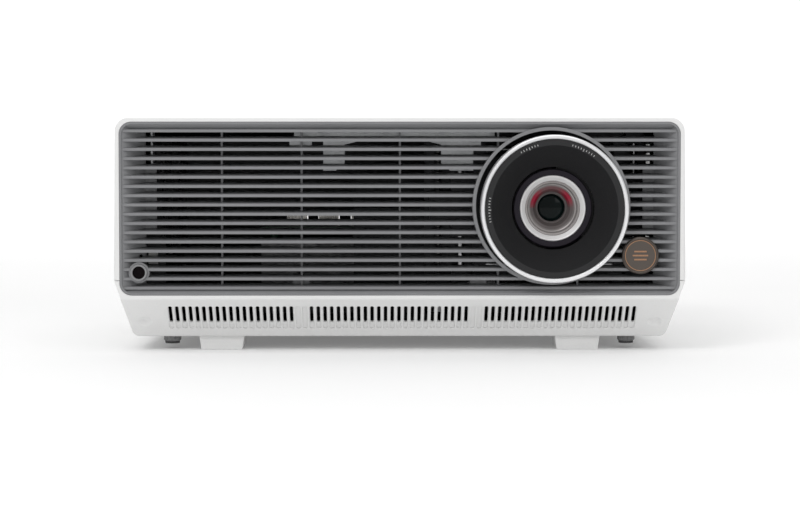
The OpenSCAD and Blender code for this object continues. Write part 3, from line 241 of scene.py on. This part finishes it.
def metal(name, colour, rough=0.3, grain=(600.0, 40.0, 600.0), depth=0.01, anodised=False):
    """Drawn, cast or ground metal with a one-way grain, stains and brighter edges.

    The grain is its scale along each axis, and its depth is in millimetres.
    """
    look = Look(name)
    lines = look.noise(1.0, detail=3.0, rough=0.6, at=look.stretched(grain))
    stain = look.noise(35.0, detail=4.0, rough=0.6)

    tint = look.mix(look.spread(stain, 0.0, 1.0), shade(colour, 0.92), shade(colour, 1.08))
    tint = look.mix(look.span(lines, 0.0, 0.25, 0.45, 0.7), tint, shade(colour, 0.7))
    rubbed = look.span(look.noise(220.0), 0.2, 0.5, 0.35, 0.65)
    worn = look.product(look.edge_mask(0.3 * MM), rubbed)
    tint = look.mix(worn, tint, shade(colour, 1.6 if anodised else 1.25))

    rough_map = look.total(look.spread(stain, rough - 0.07, rough + 0.09), look.spread(lines, -0.05, 0.05))
    normal = look.bump(lines, depth * MM, 0.5, look.rounded_edges(0.15 * MM))
    metallic = 0.55 if anodised else 1.0
    return look.shader(Base_Color=tint, Roughness=rough_map, Metallic=metallic, Normal=normal)


def turned_metal(name, colour, rough, pitch, depth, dark_bands=0.2, metallic=1.0, gloss=0.5, centre=LENS):
    """Metal turned on a lathe about the line along Y through centre.

    The pitch and depth of the rings are in millimetres.
    """
    look = Look(name)
    rings = look.turned_grain(centre, pitch * MM)
    smudge = look.noise(60.0, detail=3.0, rough=0.6)
    tint = look.mix(look.span(rings, 0.0, dark_bands, 0.4, 0.75), colour, shade(colour, 0.6))
    rough_map = look.total(look.spread(smudge, rough - 0.05, rough + 0.07), look.spread(rings, -0.04, 0.04))
    normal = look.bump(rings, depth * MM, 0.5, look.rounded_edges(0.2 * MM))
    return look.shader(
        Base_Color=tint, Roughness=rough_map, Metallic=metallic, Specular_IOR_Level=gloss, Normal=normal
    )


def galvanised(name, colour=(0.56, 0.57, 0.58)):
    """Zinc-coated steel sheet with its spangle."""
    look = Look(name)
    spangle = look.add("ShaderNodeTexVoronoi", Vector=look.place, Scale=140.0).outputs["Color"]
    tone = look.add("ShaderNodeSeparateColor", Color=spangle).outputs[0]
    return look.shader(
        Base_Color=look.mix(tone, shade(colour, 0.85), shade(colour, 1.1)),
        Metallic=0.8,
        Roughness=look.span(tone, 0.3, 0.5),
        Normal=look.bump(look.noise(500.0), 0.01 * MM, 0.5, look.rounded_edges(0.15 * MM)),
    )


def glass(name, tint, grazing_reflection_tint, coat_tint):
    """Dark lens glass with a tinted coating, a painted coloured reflection towards grazing angles, and a
    little dust.
    """
    look = Look(name)
    facing = look.add("ShaderNodeLayerWeight", Blend=0.35).outputs["Facing"]
    dust = look.span(look.noise(900.0, detail=2.0, rough=0.7), 0.0, 0.05, 0.62, 0.8)
    return look.shader(
        # Painted reflection: the colour turns to the coating's tint towards grazing angles.
        Base_Color=look.mix(facing, tint, grazing_reflection_tint),
        Roughness=look.total(dust, 0.03),
        Transmission_Weight=0.1,
        IOR=1.5,
        Specular_IOR_Level=0.03,
        Coat_Weight=0.08,
        Coat_Roughness=0.02,
        Coat_IOR=1.6,
        Coat_Tint=coat_tint,
        Normal=look.bump(dust, 0.002 * MM, 0.3),
    )


def rubber(name):
    look = Look(name)
    speck = look.noise(700.0, detail=3.0, rough=0.7)
    return look.shader(
        Base_Color=look.mix(speck, (0.05, 0.05, 0.05), (0.10, 0.10, 0.10)),
        Roughness=look.span(speck, 0.7, 0.9),
        Normal=look.bump(speck, 0.03 * MM, 0.8),
    )


def print_ink(name, colour):
    look = Look(name)
    worn = look.noise(500.0, detail=3.0, rough=0.7)
    return look.shader(
        Base_Color=look.mix(look.span(worn, 0.0, 1.0, 0.5, 0.75), colour, shade(colour, 0.7)),
        Roughness=look.span(worn, 0.4, 0.6),
        Normal=look.bump(worn, 0.005 * MM, 0.5),
    )


# ---- White case: its inner side is painted black, as shade inside the case --------------------

WHITE = (0.77, 0.77, 0.765)
SKIN = 1.7 * MM  # a face deeper in the wall than this is an inner face
REAR_CORNER = 14 * MM
TOP_EDGE = 9 * MM
COVER_TAPER = 0.5 * MM  # how far the cover's sides lean in at the top
TRAY_FLOOR = 9 * MM
CHIN_TOP = 35.2 * MM
CHIN_DEPTH = 28 * MM
KNEE_Z = 38 * MM  # the tray's sides bend at this height
KNEE_INSET = 3.6 * MM
LEAN_ABOVE_KNEE = 0.38  # how far a side goes out for each metre of height
LEAN_BELOW_KNEE = 0.26
CHAMFER_DEPTH = 8 * MM  # at the foot of the rear wall
CHAMFER_HEIGHT = 10 * MM


def within_corner(look, across, limit_across, along, limit_along, radius):
    """1 where a point is deeper than the skin, next to a corner with this radius."""
    past_across = look.math("MAXIMUM", look.minus(across, limit_across - radius), 0.0)
    past_along = look.math("MAXIMUM", look.minus(along, limit_along - radius), 0.0)
    return look.math("LESS_THAN", look.distance(past_across, past_along), radius - SKIN)


def above_slope(look, y, z, point_y, point_z, run, rise):
    """1 where (y, z) is deeper than the skin over a slope through a point, with its run and rise."""
    length = math.hypot(run, rise)
    y_share, z_share = -rise / length, run / length
    start = point_y * y_share + point_z * z_share
    height = look.total(look.product(y, y_share), look.product(z, z_share), -start)
    return look.math("GREATER_THAN", height, SKIN)


def inside_cover(look):
    x, y, z = look.axes()
    x = look.math("ABSOLUTE", x)
    return look.product(
        within_corner(look, x, CASE_HIGH.x - COVER_TAPER, z, CASE_HIGH.z, TOP_EDGE),
        within_corner(look, y, CASE_HIGH.y, z, CASE_HIGH.z, TOP_EDGE),
        within_corner(look, x, TRAY_HIGH.x, y, CASE_HIGH.y, REAR_CORNER),
        look.math("GREATER_THAN", y, CASE_LOW.y + SKIN),
    )


def inside_tray(look):
    x, y, z = look.axes()
    x = look.math("ABSOLUTE", x)
    above = look.product(look.minus(z, KNEE_Z), LEAN_ABOVE_KNEE)
    below = look.product(look.minus(z, KNEE_Z), LEAN_BELOW_KNEE)
    side = look.total(look.math("MAXIMUM", above, below), TRAY_HIGH.x - KNEE_INSET - SKIN)
    side = look.math("MINIMUM", side, TRAY_HIGH.x - SKIN)
    return look.product(
        look.math("LESS_THAN", x, side),
        above_slope(look, y, z, TRAY_LOW.y, CHIN_TOP, CHIN_DEPTH, TRAY_FLOOR - CHIN_TOP),
        above_slope(look, y, z, TRAY_HIGH.y - CHAMFER_DEPTH, TRAY_FLOOR, CHAMFER_DEPTH, CHAMFER_HEIGHT),
        within_corner(look, x, TRAY_HIGH.x, y, TRAY_HIGH.y, REAR_CORNER),
        look.math("GREATER_THAN", z, TRAY_FLOOR + SKIN),
        look.math("GREATER_THAN", y, TRAY_LOW.y + SKIN),
    )


def white_case(name, mask=None):
    return plastic(
        name, WHITE, rough=0.42, grain=0.45, variation=0.012, wear=0.15, edge=0.4, painted_shade_inside=mask
    )


# ---- Boards ----------------------------------------------------------------------------------


def circuit_board(name):
    """Green solder mask over raised tracks, with tinned pads."""
    look = Look(name)
    bricks = look.add("ShaderNodeTexBrick", {"offset": 0.5}, Vector=look.place, Scale=60.0, Mortar_Size=0.03)
    tracks = bricks.outputs["Fac"]
    green = look.mix(tracks, (0.008, 0.05, 0.025), (0.02, 0.11, 0.05))
    pads = look.product(look.span(look.cells(420.0), 1.0, 0.0, 0.08, 0.14),
                        look.span(look.noise(60.0), 0.0, 1.0, 0.5, 0.55))
    return look.shader(
        Base_Color=look.mix(pads, green, (0.6, 0.58, 0.5)),
        Roughness=look.span(look.noise(80.0), 0.25, 0.4),
        Normal=look.bump(tracks, 0.03 * MM, 0.5),
    )


CONNECTOR_DEPTH = 2.1 * MM  # how far the receiver board's connector stands out


def receiver_board(name):
    """Black board whose raised connector is pale."""
    look = Look(name)
    _, y, _ = look.axes()
    raised = look.math("LESS_THAN", y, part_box("ir_board")[0].y + CONNECTOR_DEPTH)
    speck = look.noise(500.0, detail=3.0, rough=0.6)
    black = look.mix(speck, (0.008, 0.008, 0.009), (0.02, 0.02, 0.021))
    return look.shader(
        Base_Color=look.mix(raised, black, (0.42, 0.42, 0.41)),
        Roughness=look.span(speck, 0.35, 0.55),
        Specular_IOR_Level=0.3,
        Normal=look.bump(speck, 0.01 * MM, 0.5),
    )


# ---- Lens ------------------------------------------------------------------------------------

BAND_RADIUS = 40.8 * MM  # the flat band with the marks lies outside this radius
DEEP_STEPS = 13.6 * MM  # the throat's steps are painted darkest up to this radius, as shade deep in the throat
FRONT_STEPS = 15.4 * MM  # and at their full tone from this one
# The red band and its two glints are painted reflections of the lens coatings.
RED_RADIUS = 12.5 * MM
RED_HALF_WIDTH = 1.5 * MM
RED_FADE = 0.6 * MM
RED_START = (math.radians(-8), math.radians(30))  # angles between which the faint painted red reflection comes in
RED_END = (math.radians(165), math.radians(190))  # and those between which it goes
GLINT_CORE = 0.1  # radians
GLINTS = ((math.radians(152), 0.62), (math.radians(36), 0.60))  # painted red glints: each one's angle and half width


def funnel_paint(name):
    """Matt black paint with very fine turned rings, a little lighter on the flat band."""
    look = Look(name)
    rings = look.turned_grain(LENS, 0.35 * MM)
    speck = look.noise(1200.0, detail=2.0, rough=0.7)
    radius, _ = look.around(LENS)
    black = look.mix(speck, (0.012, 0.012, 0.013), (0.020, 0.020, 0.021))
    on_band = look.math("GREATER_THAN", radius, BAND_RADIUS)
    return look.shader(
        Base_Color=look.mix(on_band, black, (0.030, 0.030, 0.031)),
        Roughness=look.spread(rings, 0.42, 0.54),
        Specular_IOR_Level=0.12,
        Normal=look.bump(rings, 0.015 * MM, 0.6),
    )


def lens_throat(name):
    """Stepped throat of the lens: warm grey steps, painted darker deeper in as shade, and painted red
    reflections of the lens coatings on the upper half of one band.
    """
    look = Look(name)
    radius, angle = look.around(LENS)
    rings = look.turned_grain(LENS, 0.25 * MM)
    grey = look.mix(look.span(rings, 0.0, 1.0, 0.35, 0.65), (0.24, 0.222, 0.218), (0.46, 0.435, 0.43))
    # Painted shade: the deeper steps are darker.
    grey = look.mix(look.span(radius, 1.0, 0.0, DEEP_STEPS, FRONT_STEPS), grey, (0.12, 0.105, 0.103))

    # Painted red reflection of the coatings, brightest at the two painted glints.
    red_reflection = look.product(look.span(angle, 0.0, 0.22, *RED_START), look.span(angle, 1.0, 0.0, *RED_END))
    for glint_angle, half_width in GLINTS:
        away = look.math("ABSOLUTE", look.minus(angle, glint_angle))
        red_reflection = look.total(red_reflection, look.span(away, 0.8, 0.0, GLINT_CORE, half_width))
    from_middle = look.math("ABSOLUTE", look.minus(radius, RED_RADIUS))
    in_band = look.span(from_middle, 1.0, 0.0, RED_HALF_WIDTH, RED_HALF_WIDTH + RED_FADE)
    red_reflection = look.product(red_reflection, in_band, look.span(look.noise(150.0), 0.75, 1.0))
    return look.shader(
        Base_Color=look.mix(red_reflection, grey, (0.36, 0.006, 0.035)),
        Roughness=look.span(rings, 0.3, 0.42),
        Metallic=0.3,
        Specular_IOR_Level=0.15,
        Normal=look.bump(rings, 0.01 * MM, 0.4),
    )


# ---- A material for each node ----------------------------------------------------------------


def give(material, *nodes):
    for name in nodes:
        slots = NODES[name].data.materials
        slots.clear()
        slots.append(material)


# Case
give(white_case("white_cover_plastic", inside_cover), "top_cover")
give(white_case("white_tray_plastic", inside_tray), "bottom_tray")
give(white_case("white_side_plastic"), "left_side_grille", "right_side_grille")
give(plastic("grey_grille_plastic", (0.215, 0.217, 0.224), rough=0.38, grain=0.3, depth=0.012, wear=0.3,
             edge=0.2), "front_grille")
give(plastic("dark_rear_plastic", (0.045, 0.046, 0.048), rough=0.5, grain=0.6, depth=0.04, wear=0.3),
     "rear_panel")
give(turned_metal("badge_satin_metal", (0.125, 0.108, 0.096), 0.36, 0.3, 0.004, dark_bands=0.12,
                  centre=centre_of("badge_plate")), "badge_plate")
give(metal("copper_inlay", (0.40, 0.23, 0.14), rough=0.36), "badge_inlay")
give(plastic("foot_knob_plastic", (0.23, 0.23, 0.232), rough=0.5, wear=0.3),
     "foot_knob_left", "foot_knob_right")
give(rubber("foot_rubber"), "foot_sole_left", "foot_sole_right")
give(metal("zinc_screw", (0.55, 0.55, 0.53), rough=0.3), "case_screws")
give(metal("brass", (0.72, 0.53, 0.26), rough=0.28), "mounting_inserts", "focus_pinion", "zoom_pinion")

# Keys, lights and the infrared receiver
give(plastic("key_plastic", (0.30, 0.30, 0.31), rough=0.4, wear=0.3), "power_button", "navigation_key")
give(plastic("light_pipe_plastic", (0.55, 0.66, 0.60), rough=0.2, grain=0.8), "status_lights")
give(plastic("ir_tube_plastic", (0.24, 0.24, 0.245), rough=0.35, wear=0.3), "ir_tube")
give(plastic("ir_window_plastic", (0.004, 0.002, 0.003), rough=0.12, grain=0.8, depth=0.002, gloss=0.05),
     "ir_window")
give(receiver_board("black_receiver_board"), "ir_board")

# Lens
give(turned_metal("bright_ring_metal", (0.93, 0.93, 0.94), 0.30, 0.35, 0.003, dark_bands=0.22),
     "lens_trim_ring")
give(funnel_paint("matt_black_funnel"), "lens_funnel")
give(plastic("shroud_plastic", (0.02, 0.02, 0.021), rough=0.5), "lens_shroud")
give(turned_metal("black_barrel_anodised", (0.014, 0.011, 0.017), 0.42, 0.3, 0.006, metallic=0.2, gloss=0.22),
     "lens_barrel")
give(turned_metal("bright_barrel_metal", (0.82, 0.81, 0.81), 0.42, 0.12, 0.001, dark_bands=0.04,
                  metallic=0.35), "barrel_front_ring")
give(lens_throat("lens_throat"), "lens_baffle")
give(glass("coated_front_glass", (0.002, 0.004, 0.004), (0.012, 0.07, 0.065), (0.45, 0.95, 0.88)),
     "front_lens")
give(glass("coated_rear_glass", (0.03, 0.03, 0.05), (0.25, 0.10, 0.25), (0.8, 0.6, 0.9)), "rear_lens")
give(plastic("black_gear_plastic", (0.025, 0.025, 0.026), rough=0.4, wear=0.5), "focus_ring", "zoom_ring")
give(metal("motor_can", (0.55, 0.55, 0.56), rough=0.25),
     "focus_motor", "zoom_motor", "vertical_shift_motor", "horizontal_shift_motor")
give(metal("black_anodised_stage", (0.028, 0.028, 0.031), rough=0.42, anodised=True),
     "lens_carriage", "cross_carriage", "stage_base")
give(metal("ground_steel", (0.5, 0.5, 0.51), rough=0.18), "vertical_rods", "horizontal_rods")
give(metal("oiled_screw_steel", (0.12, 0.12, 0.12), rough=0.3),
     "vertical_lead_screw", "horizontal_lead_screw")

# Light engine, cooling and electronics
give(metal("dark_cast_metal", (0.035, 0.036, 0.038), rough=0.6, grain=(300.0, 300.0, 300.0), depth=0.06,
           anodised=True), "optical_engine", "laser_module")
give(metal("black_anodised_fins", (0.020, 0.020, 0.022), rough=0.5, grain=(700.0, 700.0, 12.0),
           anodised=True), "imager_heat_sink", "laser_heat_sink")
give(plastic("fan_frame_plastic", (0.018, 0.018, 0.019), rough=0.5),
     "fan_frame_front", "fan_frame_rear", "fan_frame_right")
give(plastic("fan_blade_plastic", (0.03, 0.03, 0.032), rough=0.35),
     "fan_rotor_front", "fan_rotor_rear", "fan_rotor_right")
give(galvanised("galvanised_bracket"), "upper_bracket")
# The power supply's cage is the bracket's zinc, painted darker as shade inside the case.
give(galvanised("shaded_galvanised_cage", (0.22, 0.22, 0.225)), "power_supply")
give(circuit_board("green_circuit_board"), "main_board", "button_board")
give(metal("nickel_plate", (0.62, 0.60, 0.56), rough=0.22), "video_sockets", "network_socket")
give(plastic("inlet_nylon", (0.02, 0.02, 0.021), rough=0.55, wear=0.3), "mains_inlet")


# ---- Printed marks ---------------------------------------------------------------------------


def mesh_from(name, build, material, closed=True):
    """A mesh whose faces the function build makes, with one material."""
    mesh = bpy.data.meshes.new(name)
    builder = bmesh.new()
    build(builder)
    if closed:
        bmesh.ops.recalc_face_normals(builder, faces=builder.faces)
    builder.to_mesh(mesh)
    builder.free()
    mesh.materials.append(material)
    return mesh


def add_object(name, data):
    made = bpy.data.objects.new(name, data)
    bpy.context.scene.collection.objects.link(made)
    return made


def printed_mark(name, build, ink, body):
    piece = add_object(name, mesh_from(name, build, ink))
    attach(piece, body)


def slab(builder, corners, up):
    """A thin closed plate: its lower face's corners in order, and the way up to its upper face."""
    low = [builder.verts.new(corner) for corner in corners]
    high = [builder.verts.new(Vector(corner) + up) for corner in corners]
    builder.faces.new(low)
    builder.faces.new(list(reversed(high)))
    count = len(corners)
    for i in range(count):
        after = (i + 1) % count
        builder.faces.new((low[i], low[after], high[after], high[i]))


def ring_arc(builder, centre, inner, outer, start, end, thickness, steps=28):
    """A flat ring from the start angle to the end angle, in degrees, made of short slabs."""
    for i in range(steps):
        first, last = (math.radians(start + (end - start) * step / steps) for step in (i, i + 1))
        corners = [centre + Vector((math.cos(angle) * radius, math.sin(angle) * radius, 0))
                   for radius, angle in ((inner, first), (outer, first), (outer, last), (inner, last))]
        slab(builder, corners, Vector((0, 0, thickness)))


def below_top(node, depth):
    """The point at this depth under the middle of a node's top."""
    middle = centre_of(node)
    return Vector((middle.x, middle.y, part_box(node)[1].z - depth))


TICK_SCALES = ((113, 7), (64, 9), (181, 9))  # each scale's middle in degrees, and its number of ticks
TICK_STEP = 2.6  # degrees
TICK_INNER = 41.6 * MM
TICK_OUTER = 42.7 * MM
TALL_TICK_EXTRA = 0.7 * MM
TICK_HALF_WIDTH = 0.17 * MM
TICK_SINK = 0.02 * MM  # how far a tick reaches into the band
TICK_THICKNESS = 0.05 * MM


def band_marks(builder):
    """Three short scales of tick marks on the flat band inside the bright ring."""
    base = Vector((LENS.x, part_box("lens_funnel")[0].y + TICK_SINK, LENS.z))
    for middle, count in TICK_SCALES:
        for i in range(count):
            angle = math.radians(middle + (i - (count - 1) / 2) * TICK_STEP)
            is_tall = i == count // 2
            inner = TICK_INNER - (TALL_TICK_EXTRA if is_tall else 0)
            along = Vector((math.cos(angle), 0, math.sin(angle)))
            across = Vector((-math.sin(angle), 0, math.cos(angle))) * TICK_HALF_WIDTH
            corners = [
                base + along * inner - across,
                base + along * TICK_OUTER - across,
                base + along * TICK_OUTER + across,
                base + along * inner + across,
            ]
            slab(builder, corners, Vector((0, -TICK_THICKNESS, 0)))


RING_THICKNESS = 0.1 * MM
SYMBOL_DEPTH = 0.62 * MM  # the symbol starts this far under the button's highest point
SYMBOL_INNER = 1.9 * MM
SYMBOL_OUTER = 2.4 * MM
SYMBOL_START = 120  # degrees
SYMBOL_END = 420
SYMBOL_BAR_HALF_WIDTH = 0.25 * MM
SYMBOL_BAR_FOOT = 0.6 * MM
SYMBOL_BAR_TIP = 3.0 * MM
SYMBOL_BAR_THICKNESS = 0.14 * MM


def power_symbol(builder):
    """An open ring with an upright bar."""
    at = below_top("power_button", SYMBOL_DEPTH)
    ring_arc(builder, at, SYMBOL_INNER, SYMBOL_OUTER, SYMBOL_START, SYMBOL_END, RING_THICKNESS)
    half = Vector((SYMBOL_BAR_HALF_WIDTH, 0, 0))
    foot = at + Vector((0, SYMBOL_BAR_FOOT, 0))
    tip = at + Vector((0, SYMBOL_BAR_TIP, 0))
    slab(builder, [foot - half, foot + half, tip + half, tip - half], Vector((0, 0, SYMBOL_BAR_THICKNESS)))


KEY_MARK_DEPTH = 0.34 * MM  # the marks start this far under the key's highest point
ARROW_TIP = 8.6 * MM
ARROW_FOOT = 7.2 * MM
ARROW_HALF_WIDTH = 1.1 * MM
ARROW_THICKNESS = 0.12 * MM
KEY_RING_INNER = 3.4 * MM
KEY_RING_OUTER = 3.7 * MM
KEY_RING_DROP = 0.17 * MM


def direction_marks(builder):
    """Four arrow heads around a thin ring."""
    at = below_top("navigation_key", KEY_MARK_DEPTH)
    for quarter in range(4):
        angle = math.radians(90 * quarter)
        out = Vector((math.cos(angle), math.sin(angle), 0))
        side = Vector((-out.y, out.x, 0))
        foot = at + out * ARROW_FOOT
        half = side * ARROW_HALF_WIDTH
        slab(builder, [at + out * ARROW_TIP, foot + half, foot - half], Vector((0, 0, ARROW_THICKNESS)))
    ring_at = at - Vector((0, 0, KEY_RING_DROP))
    ring_arc(builder, ring_at, KEY_RING_INNER, KEY_RING_OUTER, 0, 360, RING_THICKNESS, steps=48)


printed_mark("lens_band_marks", band_marks, print_ink("pale_ink", (0.62, 0.62, 0.62)), "lens_stage")
printed_mark("power_symbol", power_symbol, print_ink("white_ink", (0.75, 0.75, 0.75)), "power_button")
printed_mark("direction_marks", direction_marks, print_ink("grey_ink", (0.65, 0.65, 0.65)), "navigation_key")


# ---- Floor and backdrop ----------------------------------------------------------------------

SWEEP_HALF_WIDTH = 6.0
SWEEP_NEAR = -5.0
SWEEP_BEND = 3.0
SWEEP_RADIUS = 1.5
SWEEP_TOP = 5.0
SWEEP_STEPS = 16
FLOOR_GAP = 0.1 * MM  # the floor lies this far under the feet


def studio_sweep(builder):
    """Floor that bends up into a backdrop."""
    profile = [(SWEEP_NEAR, 0.0), (SWEEP_BEND, 0.0)]
    for step in range(1, SWEEP_STEPS + 1):
        angle = math.pi / 2 * step / SWEEP_STEPS
        profile.append((SWEEP_BEND + SWEEP_RADIUS * math.sin(angle), SWEEP_RADIUS * (1 - math.cos(angle))))
    profile.append((SWEEP_BEND + SWEEP_RADIUS, SWEEP_TOP))
    rows = [[builder.verts.new((x, y, z)) for x in (-SWEEP_HALF_WIDTH, SWEEP_HALF_WIDTH)] for y, z in profile]
    for near, far in zip(rows, rows[1:]):
        builder.faces.new((near[0], near[1], far[1], far[0]))


def floor_material():
    look = Look("studio_floor")
    soft = look.noise(3.0, detail=2.0, rough=0.5)
    return look.shader(
        Base_Color=look.mix(soft, (0.90, 0.90, 0.90), (0.93, 0.93, 0.93)),
        Roughness=look.span(soft, 0.75, 0.85),
        Specular_IOR_Level=0.1,
        Emission_Color=(1.0, 1.0, 1.0),
        Emission_Strength=0.08,
    )


sweep_mesh = mesh_from("studio_sweep", studio_sweep, floor_material(), closed=False)
for face in sweep_mesh.polygons:
    face.use_smooth = True
sweep = add_object("studio_sweep", sweep_mesh)
sweep.location.z = -FLOOR_GAP


# ---- Lights ----------------------------------------------------------------------------------


def turn_to(thing, aim):
    """Turn a lamp or camera from its place to the aim."""
    thing.rotation_mode = "QUATERNION"
    thing.rotation_quaternion = (Vector(aim) - thing.location).to_track_quat("-Z", "Y")


def softbox(name, place, aim, width, height, power):
    data = bpy.data.lights.new(name, "AREA")
    data.shape = "RECTANGLE"
    data.size = width
    data.size_y = height
    data.energy = power
    lamp = add_object(name, data)
    lamp.location = place
    turn_to(lamp, aim)


CASE_MIDDLE = (0, 0, 0.08)
softbox("front_left_softbox", (-0.9, -1.9, 1.7), CASE_MIDDLE, width=1.0, height=1.0, power=16)
softbox("front_right_softbox", (1.3, -2.2, 1.2), CASE_MIDDLE, width=1.0, height=1.0, power=5)
softbox("overhead_softbox", (0, -0.1, 2.0), (0, 0, 0), width=2.2, height=2.0, power=10)
softbox("backdrop_softbox", (0, 2.2, 2.6), (0, 4.4, 0.9), width=3.0, height=0.8, power=45)

world = bpy.data.worlds.new("studio_world")
world.use_nodes = True
background = world.node_tree.nodes["Background"]
background.inputs["Color"].default_value = (1.0, 1.0, 1.0, 1.0)
background.inputs["Strength"].default_value = 0.62
bpy.context.scene.world = world
bpy.context.scene.view_settings.view_transform = "Standard"


# ---- Camera, where the photograph was taken --------------------------------------------------

FOCAL_PIXELS = 2321.6
IMAGE_WIDTH = 800
CAMERA_DISTANCE = 1.5
CAMERA_X = -0.0129
CAMERA_HEIGHT = 0.133
AIM_HEIGHT = 0.0571

camera_data = bpy.data.cameras.new("camera")
camera_data.sensor_width = 36.0
camera_data.lens = FOCAL_PIXELS / IMAGE_WIDTH * camera_data.sensor_width
camera = add_object("camera", camera_data)
camera.location = (CAMERA_X, CASE_LOW.y - CAMERA_DISTANCE, CAMERA_HEIGHT)
turn_to(camera, (0, CASE_LOW.y, AIM_HEIGHT))
bpy.context.scene.camera = camera
